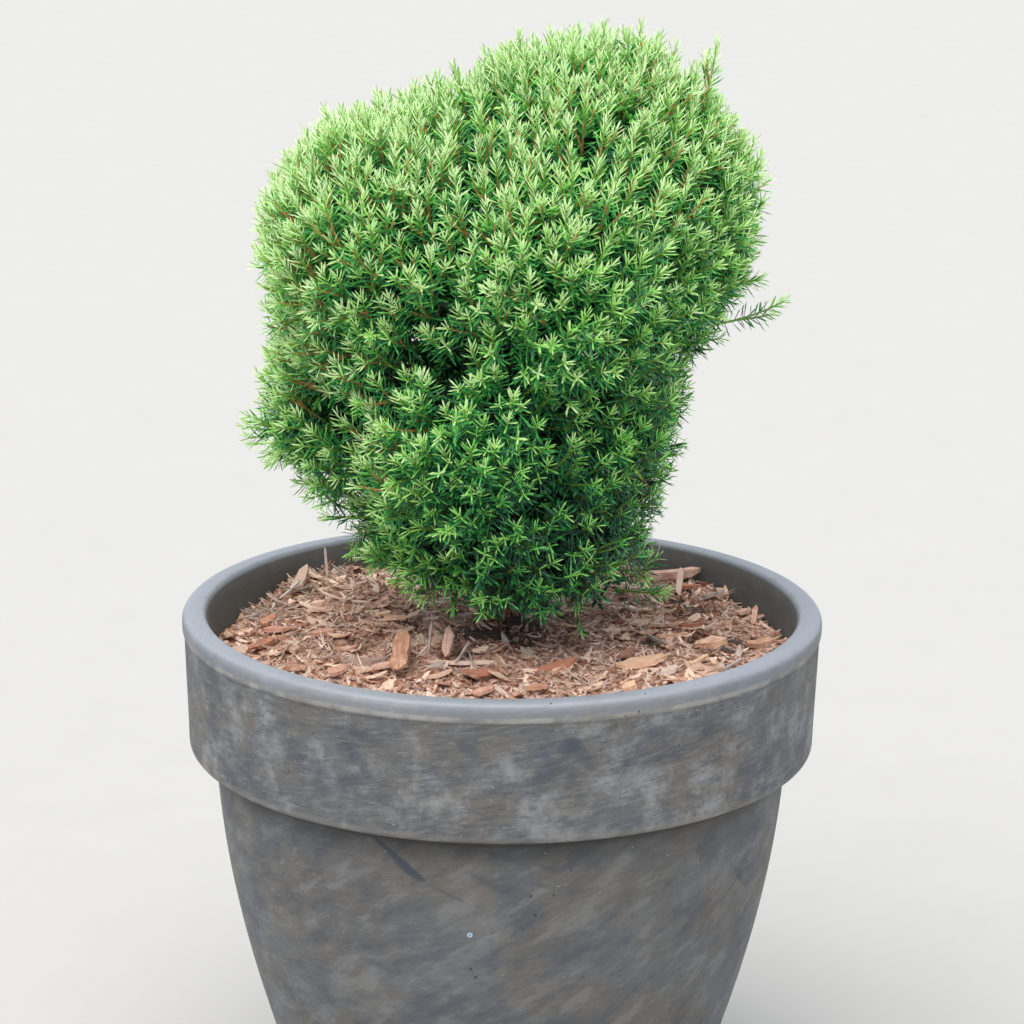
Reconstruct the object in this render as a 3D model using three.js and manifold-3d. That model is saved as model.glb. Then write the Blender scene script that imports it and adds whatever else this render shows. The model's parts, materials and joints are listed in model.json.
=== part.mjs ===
// A dense, round, needle-leaved conifer shrub growing in a clay pot.
// Millimetres, +Z up. The origin is the centre of the pot's flat underside.
import * as THREE from 'three';
import { mergeVertices } from 'three/addons/utils/BufferGeometryUtils.js';
import Module from 'manifold-3d';

const wasm = await Module();
wasm.setup();

const GAP = 0.3; // between pieces that meet, unless flat face lies on flat face
const SEED = 27;

// Pot: clay, with a deep collar under a rounded lip, and a drain hole
const POT_HEIGHT = 268;
const RIM_RADIUS = 150;
const RIM_ROUND = 4;
const RIM_INNER_ROUND = 2;
const WALL = 11;
const LIP_DEPTH = 8.5;
const LIP_PROUD = 0.9;
const COLLAR_DEPTH = 65;
const COLLAR_FOOT_RADIUS = 147.4;
const COLLAR_ROUND = 3.5;
const BODY_TOP_RADIUS = 135;
const BASE_RADIUS = 87;
const BODY_BELLY = 8.8;
const BELLY_SKEW = 0.85;
const BODY_STEPS = 4;
const FLOOR_THICKNESS = 13;
const DRAIN_RADIUS = 12;
const ROUND_SEGMENTS = 44;

// Filling: potting soil under a layer of shredded bark. Depths are below the rim
const SOIL_DEPTH = 34;
const BARK_CENTRE_DEPTH = 10;
const BARK_EDGE_DEPTH = 20;
const BARK_LUMPS = 1.1;
const BARK_LUMP_SPANS = { across: 11, deep: 9, slanting: 17 };
const BARK_RINGS = 4;
const CHIP_COUNT = 18;
const CHIP_NEAREST = 70;
const CHIP_FURTHEST = 116;
const CHIP_SIZE = { length: 24, width: 8, thickness: 2.6 };
const CHIP_TILT = 14;

// Trunk: a short hidden stem with a flared foot, leaning slightly to the right.
// Heights from here on are above the rim
const TRUNK_ROUTE = [[-3, 1, -SOIL_DEPTH], [-2, 1, 20], [4, -1, 78], [13, 1, 138]];
const TRUNK_FOOT_RADIUS = 12.5;
const TRUNK_RADIUS = 8;
const TRUNK_TIP_RADIUS = 3.2;
const TRUNK_SIDES = 15;
const TRUNK_STEPS = 9;
const FLARE_SHARE = 0.14;
const FLARE_RIDGES = 5;
const FLARE_RIDGE_DEPTH = 0.12;

// Boughs: one to each mass of the two upper tiers of five
const BOUGH_SIDES = 6;
const BOUGH_RADIUS = 3.4;
const BOUGH_TIP_RADIUS = 2.4;
const STEM_SIDES = 5;
const STEM_TIP_RADIUS = 1.2;
const LIMB_STEPS = 3;
const ROUTE_STEP = 0.005;
const LIMB_SAG = 7;
const LIMB_STAGGER = 4.6;
const STEM_STUB = 4;
const LIMB_CLEARANCE = 0.8;

// Crown: masses of foliage in tiers of five, turned half a step from tier to tier.
// Bearings run anticlockwise from +X, seen from above. A limb leaves the trunk at height leaves
const SIDES = ['right', 'back_right', 'back_left', 'front_left', 'front_right'];
const TURNED_SIDES = ['back_right', 'back', 'left', 'front', 'front_right'];
const TIERS = [
  { tier: 'skirt', sides: SIDES, turn: 0, height: 40, out: 27, radius: 45, hub: 17, leaves: 10 },
  { tier: 'waist', sides: TURNED_SIDES, turn: 36, height: 102, out: 49, radius: 45, hub: 22, leaves: 38 },
  { tier: 'shoulder', sides: SIDES, turn: 0, height: 178, out: 66, radius: 57, hub: 24, leaves: 88 },
];
const TOP = { out: 42, height: 214, radius: 61, lowest: 152 };
const CROWN_LOWEST = -3;
const CROWN_BLEND = 16;

// Where single masses stand further out or higher than their tier
const OUTLINE = {
  foliage_skirt_back_left: { out: 8, up: 3 },
  foliage_skirt_front_left: { out: 8, up: 5 },
  foliage_waist_left: { out: 24, up: 3 },
  foliage_waist_back: { out: 10, up: 0 },
  foliage_waist_front: { out: 12, up: 0 },
  foliage_shoulder_right: { out: 1, up: 4 },
  foliage_shoulder_back_left: { out: 5, up: 6 },
  foliage_shoulder_front_left: { out: 5, up: 6 },
  foliage_shoulder_back_right: { out: -4, up: 0 },
  foliage_shoulder_front_right: { out: -4, up: 0 },
};

// Foliage of one mass: a smaller dense core, and sprays of needles that stand out of it
const MASS_GAP = 1.2;
const CORE_INSET = 15;
const CORE_ROUGHNESS = 9;
const CORE_DENTS = new THREE.Vector3(37, 31, 23);
const CORE_DETAIL = 2;
const SPRAY_SPACING = 37;
const SPRAY_RADII = [3.6, 3.2, 2];
const SPRAY_NEEDLE = 16;
const SPRAY_NEEDLE_PITCH = 40;
const SPRAY_TWIST = 22;
const SPRAY_ROOT = 6;
const SPRAY_BEYOND = 1;
const SPRAY_TRIES = 4;
const SPRAY_LEAN = 0.4;
const SPRAY_SHRINK = 0.92;
const SPRAY_SPREAD = 0.12;
const SPRAY_DRIFT = 0.35;
const RISE_AT_TOP = 0.75;
const RISE_AT_FOOT = -0.05;
const LOWEST_TIP = -6;
const STRAYS = [
  { name: 'foliage_shoulder_right', towards: [1, -0.12, -0.42], beyond: 10 },
  { name: 'foliage_waist_left', towards: [-1, -0.5, -0.45], beyond: 8 },
];

const COLOURS = {
  pot: 0x6d6d6e,
  soil: 0x54483f,
  bark: 0xa08270,
  wood: 0x6b5138,
  skirt: 0x3a6c38,
  waist: 0x4f8544,
  shoulder: 0x6f9f5c,
  top: 0x8fb873,
};

const { degToRad, lerp, clamp } = THREE.MathUtils;
const UP = new THREE.Vector3(0, 0, 1);
const group = new THREE.Group();

function addMesh(name, geometry, color, roughness) {
  const mesh = new THREE.Mesh(geometry, new THREE.MeshStandardMaterial({ color, roughness, metalness: 0 }));
  mesh.name = name;
  group.add(mesh);
}

// A repeatable chain of random numbers from 0 to 1
function randomFrom(seed) {
  let state = seed >>> 0;
  return () => {
    state = (Math.imul(state, 1664525) + 1013904223) >>> 0;
    return state / 4294967296;
  };
}

function solidOf(geometry) {
  const bare = geometry.clone();
  bare.deleteAttribute('normal');
  bare.deleteAttribute('uv');
  const merged = mergeVertices(bare, 1e-3);
  const vertProperties = new Float32Array(merged.attributes.position.array);
  const triVerts = new Uint32Array(merged.index.array);
  return new wasm.Manifold(new wasm.Mesh({ numProp: 3, vertProperties, triVerts }));
}

function geometryOf(solid) {
  const mesh = solid.getMesh();
  const geometry = new THREE.BufferGeometry();
  geometry.setAttribute('position', new THREE.BufferAttribute(new Float32Array(mesh.vertProperties), 3));
  geometry.setIndex(Array.from(mesh.triVerts));
  geometry.computeVertexNormals();
  return geometry;
}

function largestPiece(solid) {
  return solid.decompose().reduce((most, piece) => (piece.volume() > most.volume() ? piece : most));
}

// A lathe turns about Y, so it is stood up about X
function turned(profile) {
  return new THREE.LatheGeometry(profile, ROUND_SEGMENTS).rotateX(Math.PI / 2);
}

function arc(centreX, centreY, radius, from, to, steps) {
  return Array.from({ length: steps + 1 }, (_, i) => {
    const angle = degToRad(lerp(from, to, i / steps));
    return new THREE.Vector2(centreX + radius * Math.cos(angle), centreY + radius * Math.sin(angle));
  });
}

const COLLAR_FOOT = POT_HEIGHT - COLLAR_DEPTH;

// The body narrows to its base with a slight belly
function bodyRadius(height) {
  const drop = 1 - height / COLLAR_FOOT;
  return lerp(BODY_TOP_RADIUS, BASE_RADIUS, drop) + BODY_BELLY * Math.sin(Math.PI * drop ** BELLY_SKEW);
}

function innerRadius(height) {
  if (height < COLLAR_FOOT) return bodyRadius(height) - WALL;
  return lerp(BODY_TOP_RADIUS, RIM_RADIUS, (height - COLLAR_FOOT) / COLLAR_DEPTH) - WALL;
}

const BODY_HEIGHTS = Array.from({ length: BODY_STEPS + 1 }, (_, i) => COLLAR_FOOT * (i / BODY_STEPS));

// The inside of the wall from the floor upwards, drawn in by a clearance
function innerSide(clearance) {
  return [FLOOR_THICKNESS, ...BODY_HEIGHTS.filter((height) => height > FLOOR_THICKNESS)]
    .map((height) => new THREE.Vector2(innerRadius(height) - clearance, height));
}

function makePot() {
  const profile = [
    new THREE.Vector2(DRAIN_RADIUS, 0),
    ...BODY_HEIGHTS.map((height) => new THREE.Vector2(bodyRadius(height), height)),
    ...arc(COLLAR_FOOT_RADIUS - COLLAR_ROUND, COLLAR_FOOT + COLLAR_ROUND, COLLAR_ROUND, -90, 0, 2),
    new THREE.Vector2(RIM_RADIUS - LIP_PROUD, POT_HEIGHT - LIP_DEPTH - LIP_PROUD),
    new THREE.Vector2(RIM_RADIUS, POT_HEIGHT - LIP_DEPTH),
    ...arc(RIM_RADIUS - RIM_ROUND, POT_HEIGHT - RIM_ROUND, RIM_ROUND, 0, 90, 2),
    ...arc(RIM_RADIUS - WALL + RIM_INNER_ROUND, POT_HEIGHT - RIM_INNER_ROUND, RIM_INNER_ROUND, 90, 180, 1),
    ...innerSide(0).reverse(),
    new THREE.Vector2(DRAIN_RADIUS, FLOOR_THICKNESS),
    new THREE.Vector2(DRAIN_RADIUS, 0),
  ];
  return turned(profile);
}

function makeSoil() {
  const top = POT_HEIGHT - SOIL_DEPTH;
  const profile = [
    new THREE.Vector2(0, FLOOR_THICKNESS),
    ...innerSide(GAP),
    new THREE.Vector2(innerRadius(top) - GAP, top),
    new THREE.Vector2(0, top),
  ];
  return turned(profile);
}

// Depth of the bark's surface below the rim: domed towards the plant, and lumpy
function barkDepth(x, y) {
  const share = Math.hypot(x, y) / RIM_RADIUS;
  const { across, deep, slanting } = BARK_LUMP_SPANS;
  const lumps = Math.sin(x / across + 1) * Math.cos(y / deep) + 0.6 * Math.sin((x - y) / slanting);
  return lerp(BARK_CENTRE_DEPTH, BARK_EDGE_DEPTH, share * share) - BARK_LUMPS * lumps;
}

function makeBark(trunkRoom) {
  const foot = POT_HEIGHT - SOIL_DEPTH;
  const edge = POT_HEIGHT - BARK_EDGE_DEPTH;
  const edgeRadius = innerRadius(edge) - 2 * GAP;
  const profile = [new THREE.Vector2(0, foot), new THREE.Vector2(innerRadius(foot) - GAP, foot)];
  for (let ring = BARK_RINGS; ring >= 0; ring -= 1) {
    profile.push(new THREE.Vector2(edgeRadius * (ring / BARK_RINGS), edge));
  }
  const geometry = turned(profile);
  const position = geometry.attributes.position;
  for (let i = 0; i < position.count; i += 1) {
    if (position.getZ(i) > foot + 1) {
      position.setZ(i, POT_HEIGHT - barkDepth(position.getX(i), position.getY(i)));
    }
  }
  let bark = solidOf(geometry).subtract(trunkRoom);
  const random = randomFrom(SEED);
  for (let i = 0; i < CHIP_COUNT; i += 1) {
    const bearing = 2 * Math.PI * random();
    const distance = lerp(CHIP_NEAREST, CHIP_FURTHEST, random());
    const size = 0.6 + 0.4 * random();
    const x = distance * Math.cos(bearing);
    const y = distance * Math.sin(bearing);
    const chip = new THREE.BoxGeometry(CHIP_SIZE.length * size, CHIP_SIZE.width * size, CHIP_SIZE.thickness);
    chip.rotateX(degToRad(CHIP_TILT * (2 * random() - 1)));
    chip.rotateY(degToRad(CHIP_TILT * (2 * random() - 1)));
    chip.rotateZ(2 * Math.PI * random());
    chip.translate(x, y, POT_HEIGHT - barkDepth(x, y) + CHIP_SIZE.thickness / 4);
    bark = bark.add(solidOf(chip));
  }
  return geometryOf(bark);
}

// A round limb: a cylinder bent along a curve, with its own radius at each place
function limb(curve, radiusAt, sides, steps) {
  const geometry = new THREE.CylinderGeometry(1, 1, 1, sides, steps);
  const frames = curve.computeFrenetFrames(steps, false);
  const position = geometry.attributes.position;
  for (let i = 0; i < position.count; i += 1) {
    const step = Math.round((position.getY(i) + 0.5) * steps);
    const angle = Math.atan2(position.getZ(i), position.getX(i));
    const isHub = Math.hypot(position.getX(i), position.getZ(i)) < 0.5;
    const radius = isHub ? 0 : radiusAt(step / steps, angle);
    const place = curve.getPointAt(step / steps)
      .addScaledVector(frames.normals[step], radius * Math.sin(angle))
      .addScaledVector(frames.binormals[step], radius * Math.cos(angle));
    position.setXYZ(i, place.x, place.y, place.z);
  }
  return geometry;
}

// The stretch of a curve between two shares of its length
function stretch(curve, from, to) {
  const steps = 6;
  const points = Array.from({ length: steps + 1 }, (_, i) => curve.getPointAt(lerp(from, to, i / steps)));
  return new THREE.CatmullRomCurve3(points);
}

const trunkCurve = new THREE.CatmullRomCurve3(
  TRUNK_ROUTE.map(([x, y, height]) => new THREE.Vector3(x, y, POT_HEIGHT + height)),
);

function trunkRadius(along, angle) {
  const flare = Math.max(0, 1 - along / FLARE_SHARE) ** 2;
  const ridges = 1 + FLARE_RIDGE_DEPTH * flare * Math.cos(FLARE_RIDGES * angle);
  return (lerp(TRUNK_RADIUS, TRUNK_TIP_RADIUS, along) + (TRUNK_FOOT_RADIUS - TRUNK_RADIUS) * flare) * ridges;
}

// The foot is cut flat and level, where it stands on the soil
function makeTrunk(clearance) {
  const radiusAt = (along, angle) => trunkRadius(along, angle) + clearance;
  const geometry = limb(trunkCurve, radiusAt, TRUNK_SIDES, TRUNK_STEPS);
  const position = geometry.attributes.position;
  const foot = POT_HEIGHT - SOIL_DEPTH;
  for (let i = 0; i < position.count; i += 1) {
    if (position.getZ(i) < foot + TRUNK_RADIUS) position.setZ(i, foot - clearance);
  }
  return geometry;
}

// The place on the trunk's axis at a height above the rim
function onTrunk(height) {
  let share = 0;
  while (share < 1 && trunkCurve.getPointAt(share).z < POT_HEIGHT + height) share += ROUTE_STEP;
  return trunkCurve.getPointAt(Math.min(share, 1));
}

function placeMasses() {
  const masses = [];
  for (const tier of TIERS) {
    tier.sides.forEach((side, i) => {
      const name = `foliage_${tier.tier}_${side}`;
      const shift = OUTLINE[name] ?? { out: 0, up: 0 };
      const bearing = degToRad(tier.turn + (360 / tier.sides.length) * i);
      const outward = new THREE.Vector3(Math.cos(bearing), Math.sin(bearing), 0);
      const centre = outward.clone().multiplyScalar(tier.out + shift.out);
      centre.z = POT_HEIGHT + tier.height + shift.up;
      const foot = outward.clone().multiplyScalar(tier.hub);
      masses.push({
        name,
        side: `${tier.tier}_${side}`,
        tier: tier.tier,
        centre,
        radius: tier.radius,
        start: onTrunk(tier.leaves + LIMB_STAGGER * ((2 * i) % tier.sides.length)),
        walls: [{ normal: outward.clone().negate(), point: foot }],
      });
    });
  }
  masses.push({
    name: 'foliage_top',
    tier: 'top',
    centre: new THREE.Vector3(TOP.out, 0, POT_HEIGHT + TOP.height),
    radius: TOP.radius,
    walls: [{ normal: UP.clone().negate(), point: new THREE.Vector3(0, 0, POT_HEIGHT + TOP.lowest) }],
  });
  return masses;
}

// Every mass keeps to its own space: the crown is shared out by flat walls between
// neighbours, through the circle where their two globes cross
function wallOff(masses) {
  for (const mass of masses) {
    const floor = new THREE.Vector3(0, 0, POT_HEIGHT + CROWN_LOWEST);
    mass.walls.push({ normal: UP.clone().negate(), point: floor, isFloor: true });
    for (const other of masses) {
      if (other === mass) continue;
      const normal = other.centre.clone().sub(mass.centre);
      const apart = normal.length();
      normal.divideScalar(apart);
      const share = (apart ** 2 + mass.radius ** 2 - other.radius ** 2) / (2 * apart) - MASS_GAP / 2;
      mass.walls.push({ normal, point: mass.centre.clone().addScaledVector(normal, share) });
    }
  }
}

// Depth outside the crown's outline, in which the globes of all masses blend into each other
function outside(point) {
  const sum = masses.reduce(
    (total, { centre, radius }) => total + Math.exp((radius - point.distanceTo(centre)) / CROWN_BLEND),
    0,
  );
  return -CROWN_BLEND * Math.log(sum);
}

function outwardAt(point) {
  const slope = (axis) => outside(point.clone().add(axis)) - outside(point.clone().sub(axis));
  return new THREE.Vector3(
    slope(new THREE.Vector3(1, 0, 0)),
    slope(new THREE.Vector3(0, 1, 0)),
    slope(UP),
  ).normalize();
}

// How far from its centre a mass comes within a depth of the crown's outline
function outline(mass, direction, depth) {
  let distance = 0;
  while (outside(mass.centre.clone().addScaledVector(direction, distance)) < -depth) distance += 0.5;
  return distance;
}

// The same, kept inside the walls of the mass's own space
function reach(mass, direction, depth) {
  return mass.walls.reduce((nearest, wall) => {
    const closing = direction.dot(wall.normal);
    if (closing < 1e-6) return nearest;
    const room = wall.point.clone().sub(mass.centre).dot(wall.normal);
    return Math.min(nearest, room / closing);
  }, outline(mass, direction, depth));
}

function isInside(mass, point) {
  return mass.walls.every((wall) => point.clone().sub(wall.point).dot(wall.normal) <= 0);
}

// The core is dented all over, as clumps of foliage are
function makeCore(mass) {
  const geometry = new THREE.IcosahedronGeometry(1, CORE_DETAIL);
  const position = geometry.attributes.position;
  for (let i = 0; i < position.count; i += 1) {
    const direction = new THREE.Vector3().fromBufferAttribute(position, i).normalize();
    const wave = direction.clone().multiply(CORE_DENTS);
    const dent = CORE_ROUGHNESS * Math.sin(wave.x + 1) * Math.cos(wave.y + wave.z);
    const distance = reach(mass, direction, CORE_INSET + dent / 2);
    const place = mass.centre.clone().addScaledVector(direction, distance);
    position.setXYZ(i, place.x, place.y, place.z);
  }
  return solidOf(geometry);
}

// A spray: a slim three-sided core whose every face is drawn out into a pointed needle
function makeSpray(root, axis, length) {
  const across = new THREE.Vector3(-axis.y, axis.x, 0.001).normalize();
  const other = new THREE.Vector3().crossVectors(axis, across);
  const outward = (degrees) => across.clone().multiplyScalar(Math.cos(degToRad(degrees)))
    .addScaledVector(other, Math.sin(degToRad(degrees)));
  const sides = 3;
  const step = 360 / sides;
  const vertices = [];
  const faces = [];
  const add = (point) => vertices.push(point.x, point.y, point.z) / 3 - 1;
  const corners = [];
  const tiers = SPRAY_RADII.length;
  const heights = [0, ...SPRAY_RADII.map((_, k) => SPRAY_ROOT + ((length - SPRAY_ROOT) * k) / tiers)];
  heights.forEach((height, k) => {
    const radius = SPRAY_RADII[Math.max(0, k - 1)];
    corners.push(Array.from({ length: sides }, (_, j) => add(
      root.clone().addScaledVector(axis, height).addScaledVector(outward(k * SPRAY_TWIST + j * step), radius),
    )));
  });
  const pitch = degToRad(SPRAY_NEEDLE_PITCH);
  for (let k = 0; k < corners.length - 1; k += 1) {
    for (let j = 0; j < sides; j += 1) {
      const next = (j + 1) % sides;
      const quad = [corners[k][j], corners[k][next], corners[k + 1][next], corners[k + 1][j]];
      if (k === 0) {
        faces.push([quad[0], quad[1], quad[2]], [quad[0], quad[2], quad[3]]);
        continue;
      }
      const middle = (heights[k] + heights[k + 1]) / 2;
      const face = outward((k + 0.5) * SPRAY_TWIST + (j + 0.5) * step);
      const tip = add(root.clone().addScaledVector(axis, middle + SPRAY_NEEDLE * Math.sin(pitch))
        .addScaledVector(face, SPRAY_NEEDLE * Math.cos(pitch)));
      for (let q = 0; q < quad.length; q += 1) faces.push([quad[q], quad[(q + 1) % quad.length], tip]);
    }
  }
  const last = corners[corners.length - 1];
  const end = add(root.clone().addScaledVector(axis, length));
  for (let j = 0; j < sides; j += 1) faces.push([last[j], last[(j + 1) % sides], end]);
  faces.push([corners[0][2], corners[0][1], corners[0][0]]);
  const geometry = new THREE.BufferGeometry();
  geometry.setAttribute('position', new THREE.Float32BufferAttribute(vertices, 3));
  geometry.setIndex(faces.flat());
  return geometry;
}

// Sprays grow upwards at the top of the crown and straight outwards at its foot
function growth(root, random) {
  const height = clamp((root.z - POT_HEIGHT) / (TOP.height + TOP.radius), 0, 1);
  const rise = lerp(RISE_AT_FOOT, RISE_AT_TOP, height);
  const stray = new THREE.Vector3(random() - 0.5, random() - 0.5, random() - 0.5);
  return outwardAt(root).addScaledVector(UP, rise).addScaledVector(stray, 2 * SPRAY_SPREAD).normalize();
}

// Directions spread evenly over a mass, each with a little chance in it
function directionsOver(mass, random) {
  const count = Math.round((4 * Math.PI * mass.radius ** 2) / SPRAY_SPACING ** 2);
  const golden = Math.PI * (3 - Math.sqrt(5));
  return Array.from({ length: count }, (_, i) => {
    const z = 1 - (2 * (i + 0.5)) / count;
    const across = Math.sqrt(1 - z * z);
    const turn = golden * i + SPRAY_DRIFT * random();
    return new THREE.Vector3(across * Math.cos(turn), across * Math.sin(turn), z);
  });
}

// The wall that a spray crosses furthest, if it leaves the mass's own space
function wallCrossed(mass, geometry) {
  const position = geometry.attributes.position;
  let furthest = 0;
  let crossed = null;
  for (let i = 0; i < position.count; i += 1) {
    const point = new THREE.Vector3().fromBufferAttribute(position, i);
    for (const wall of mass.walls) {
      const room = wall.isFloor ? CROWN_LOWEST - LOWEST_TIP : 0;
      const past = point.clone().sub(wall.point).dot(wall.normal) - room;
      if (past > furthest) {
        furthest = past;
        crossed = wall;
      }
    }
  }
  return crossed;
}

// One mass: its stem, its core, and as many sprays as find room in its own space
function growMass(mass, random) {
  const limbsRoom = limbsAround(mass);
  let solid = largestPiece(makeCore(mass).subtract(limbsRoom)).add(mass.stem);
  const plant = (direction, beyond) => {
    const surface = outline(mass, direction, CORE_INSET);
    const root = mass.centre.clone().addScaledVector(direction, surface - SPRAY_ROOT);
    if (!isInside(mass, root)) return;
    const axis = growth(root, random);
    let length = (CORE_INSET + SPRAY_ROOT + beyond) * (1 + SPRAY_SPREAD * random());
    for (let attempt = 0; attempt < SPRAY_TRIES; attempt += 1) {
      const geometry = makeSpray(root, axis, length);
      const wall = wallCrossed(mass, geometry);
      if (!wall) {
        const spray = solidOf(geometry);
        if (spray.intersect(limbsRoom).isEmpty()) solid = solid.add(spray);
        return;
      }
      axis.addScaledVector(wall.normal, -SPRAY_LEAN).normalize();
      length *= SPRAY_SHRINK;
    }
  };
  directionsOver(mass, random).forEach((direction) => plant(direction, SPRAY_BEYOND));
  STRAYS.filter((stray) => stray.name === mass.name)
    .forEach((stray) => plant(new THREE.Vector3(...stray.towards).normalize(), stray.beyond));
  return geometryOf(largestPiece(solid));
}

// The route of a limb from the trunk into the middle of its mass
function limbRoute(mass) {
  if (!mass.start) {
    const start = trunkCurve.getPointAt(1);
    const bend = start.clone().addScaledVector(trunkCurve.getTangentAt(1), start.distanceTo(mass.centre) / 2);
    return new THREE.QuadraticBezierCurve3(start, bend, mass.centre);
  }
  const bend = mass.start.clone().lerp(mass.centre, 0.5).addScaledVector(UP, -LIMB_SAG);
  return new THREE.QuadraticBezierCurve3(mass.start, bend, mass.centre);
}

// The share of the route at which the stem stands a stub's length out of its core
function entryShare(mass, route) {
  let share = 0;
  while (share < 1) {
    const inward = route.getPointAt(share).sub(mass.centre);
    const surface = reach(mass, inward.clone().normalize(), CORE_INSET);
    if (inward.length() < surface + STEM_STUB) return share;
    share += ROUTE_STEP;
  }
  return share;
}

// A limb leaves the trunk as a bough and enters its mass as a stem. A skirt or top mass's
// stem meets the trunk itself
function makeLimb(mass) {
  const route = limbRoute(mass);
  const hasBough = mass.tier === 'waist' || mass.tier === 'shoulder';
  const entry = hasBough ? entryShare(mass, route) : 0;
  const gap = GAP / route.getLength();
  const stemCurve = stretch(route, mass.tier === 'skirt' ? 0 : entry + gap, 1);
  const boughCurve = stretch(route, 0, Math.max(entry, gap));
  const stemTaper = (along) => lerp(BOUGH_TIP_RADIUS, STEM_TIP_RADIUS, along);
  const boughTaper = (along) => lerp(BOUGH_RADIUS, BOUGH_TIP_RADIUS, along);
  const roomy = (taper) => (along) => taper(along) + LIMB_CLEARANCE;
  const stem = solidOf(limb(stemCurve, stemTaper, STEM_SIDES, LIMB_STEPS));
  mass.stem = largestPiece(stem.subtract(trunkRoom));
  mass.stemRoom = solidOf(limb(stemCurve, roomy(stemTaper), STEM_SIDES, LIMB_STEPS));
  if (!hasBough) return;
  const bough = solidOf(limb(boughCurve, boughTaper, BOUGH_SIDES, LIMB_STEPS));
  mass.bough = largestPiece(bough.subtract(trunkRoom));
  mass.boughRoom = solidOf(limb(boughCurve, roomy(boughTaper), BOUGH_SIDES, LIMB_STEPS));
}

// What one mass has to keep clear of: the trunk, every bough and the other masses' stems
function limbsAround(mass) {
  const others = masses.filter((other) => other !== mass).map((other) => other.stemRoom);
  const boughs = masses.filter((other) => other.bough).map((other) => other.boughRoom);
  return [...others, ...boughs].reduce((sum, room) => sum.add(room), solidOf(makeTrunk(LIMB_CLEARANCE)));
}

addMesh('pot', makePot(), COLOURS.pot, 0.62);
addMesh('potting_soil', makeSoil(), COLOURS.soil, 0.95);
const trunkRoom = solidOf(makeTrunk(GAP));
addMesh('bark_mulch', makeBark(trunkRoom), COLOURS.bark, 0.9);
addMesh('trunk', makeTrunk(0), COLOURS.wood, 0.85);

const masses = placeMasses();
wallOff(masses);
masses.forEach(makeLimb);
masses.filter((mass) => mass.bough)
  .forEach((mass) => addMesh(`bough_${mass.side}`, geometryOf(mass.bough), COLOURS.wood, 0.85));

const random = randomFrom(SEED + 1);
for (const mass of masses) {
  addMesh(mass.name, growMass(mass, random), COLOURS[mass.tier], 0.8);
}

export default group;
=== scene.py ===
import json
import math

import bpy
import numpy as np
from mathutils import Matrix, Vector, noise

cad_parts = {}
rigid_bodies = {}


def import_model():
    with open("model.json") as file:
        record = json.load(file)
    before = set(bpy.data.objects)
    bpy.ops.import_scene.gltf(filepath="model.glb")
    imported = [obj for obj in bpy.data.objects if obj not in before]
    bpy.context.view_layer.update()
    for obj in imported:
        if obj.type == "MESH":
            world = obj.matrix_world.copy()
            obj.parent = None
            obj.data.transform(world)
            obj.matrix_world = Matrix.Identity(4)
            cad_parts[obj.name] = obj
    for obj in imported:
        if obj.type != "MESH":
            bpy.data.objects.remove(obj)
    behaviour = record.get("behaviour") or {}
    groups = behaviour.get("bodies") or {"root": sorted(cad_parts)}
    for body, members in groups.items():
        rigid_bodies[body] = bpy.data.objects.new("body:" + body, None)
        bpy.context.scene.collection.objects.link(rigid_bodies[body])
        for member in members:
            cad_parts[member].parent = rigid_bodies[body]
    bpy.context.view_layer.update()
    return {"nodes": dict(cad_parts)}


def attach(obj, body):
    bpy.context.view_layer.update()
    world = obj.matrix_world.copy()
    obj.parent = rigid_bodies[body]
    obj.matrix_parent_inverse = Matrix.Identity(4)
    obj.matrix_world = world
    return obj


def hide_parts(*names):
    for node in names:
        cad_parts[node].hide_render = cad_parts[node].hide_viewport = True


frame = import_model()
scene = bpy.context.scene

# The view: a camera 1.5 m from the middle of the pot's rim, looking a little down through a
# long lens. Its aim and its slight roll are those of the photograph.
CAMERA_PLACE = Vector((0, -1.4387, 0.6923))
CAMERA_PITCH = math.radians(-14.75)
CAMERA_YAW = math.radians(-0.164)
CAMERA_ROLL = math.radians(0.65)
CAMERA_SENSOR = 36
CAMERA_LENS = 111.8

camera_data = bpy.data.cameras.new("camera")
camera_data.sensor_width = CAMERA_SENSOR
camera_data.lens = CAMERA_LENS
camera = bpy.data.objects.new("camera", camera_data)
scene.collection.objects.link(camera)
scene.camera = camera
forward = Vector((
    -math.sin(CAMERA_YAW) * math.cos(CAMERA_PITCH),
    math.cos(CAMERA_YAW) * math.cos(CAMERA_PITCH),
    math.sin(CAMERA_PITCH),
))
level = Vector((math.cos(CAMERA_YAW), math.sin(CAMERA_YAW), 0))
upright = level.cross(forward)
right = level * math.cos(CAMERA_ROLL) + upright * math.sin(CAMERA_ROLL)
up = upright * math.cos(CAMERA_ROLL) - level * math.sin(CAMERA_ROLL)
turn = Matrix((right, up, -forward)).transposed().to_4x4()
camera.matrix_world = Matrix.Translation(CAMERA_PLACE) @ turn

# The light: a bright overcast sky, strongest from high up on the left, with very soft
# shadows.
SKY_COLOUR = (0.80, 0.88, 1.0, 1)
SKY_STRENGTH = 0.88
SUN_PLACE = Vector((-0.22, -0.34, 1.0))
SUN_STRENGTH = 3.6
SUN_SPREAD = math.radians(60)
SUN_COLOUR = (1.0, 0.98, 0.95)

scene.view_settings.view_transform = "Standard"
world = bpy.data.worlds.new("sky")
world.use_nodes = True
world.node_tree.nodes["Background"].inputs["Color"].default_value = SKY_COLOUR
world.node_tree.nodes["Background"].inputs["Strength"].default_value = SKY_STRENGTH
scene.world = world
sun_data = bpy.data.lights.new("sun", "SUN")
sun_data.energy = SUN_STRENGTH
sun_data.angle = SUN_SPREAD
sun_data.color = SUN_COLOUR
sun = bpy.data.objects.new("sun", sun_data)
sun.rotation_euler = SUN_PLACE.to_track_quat("Z", "Y").to_euler()
scene.collection.objects.link(sun)


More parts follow.
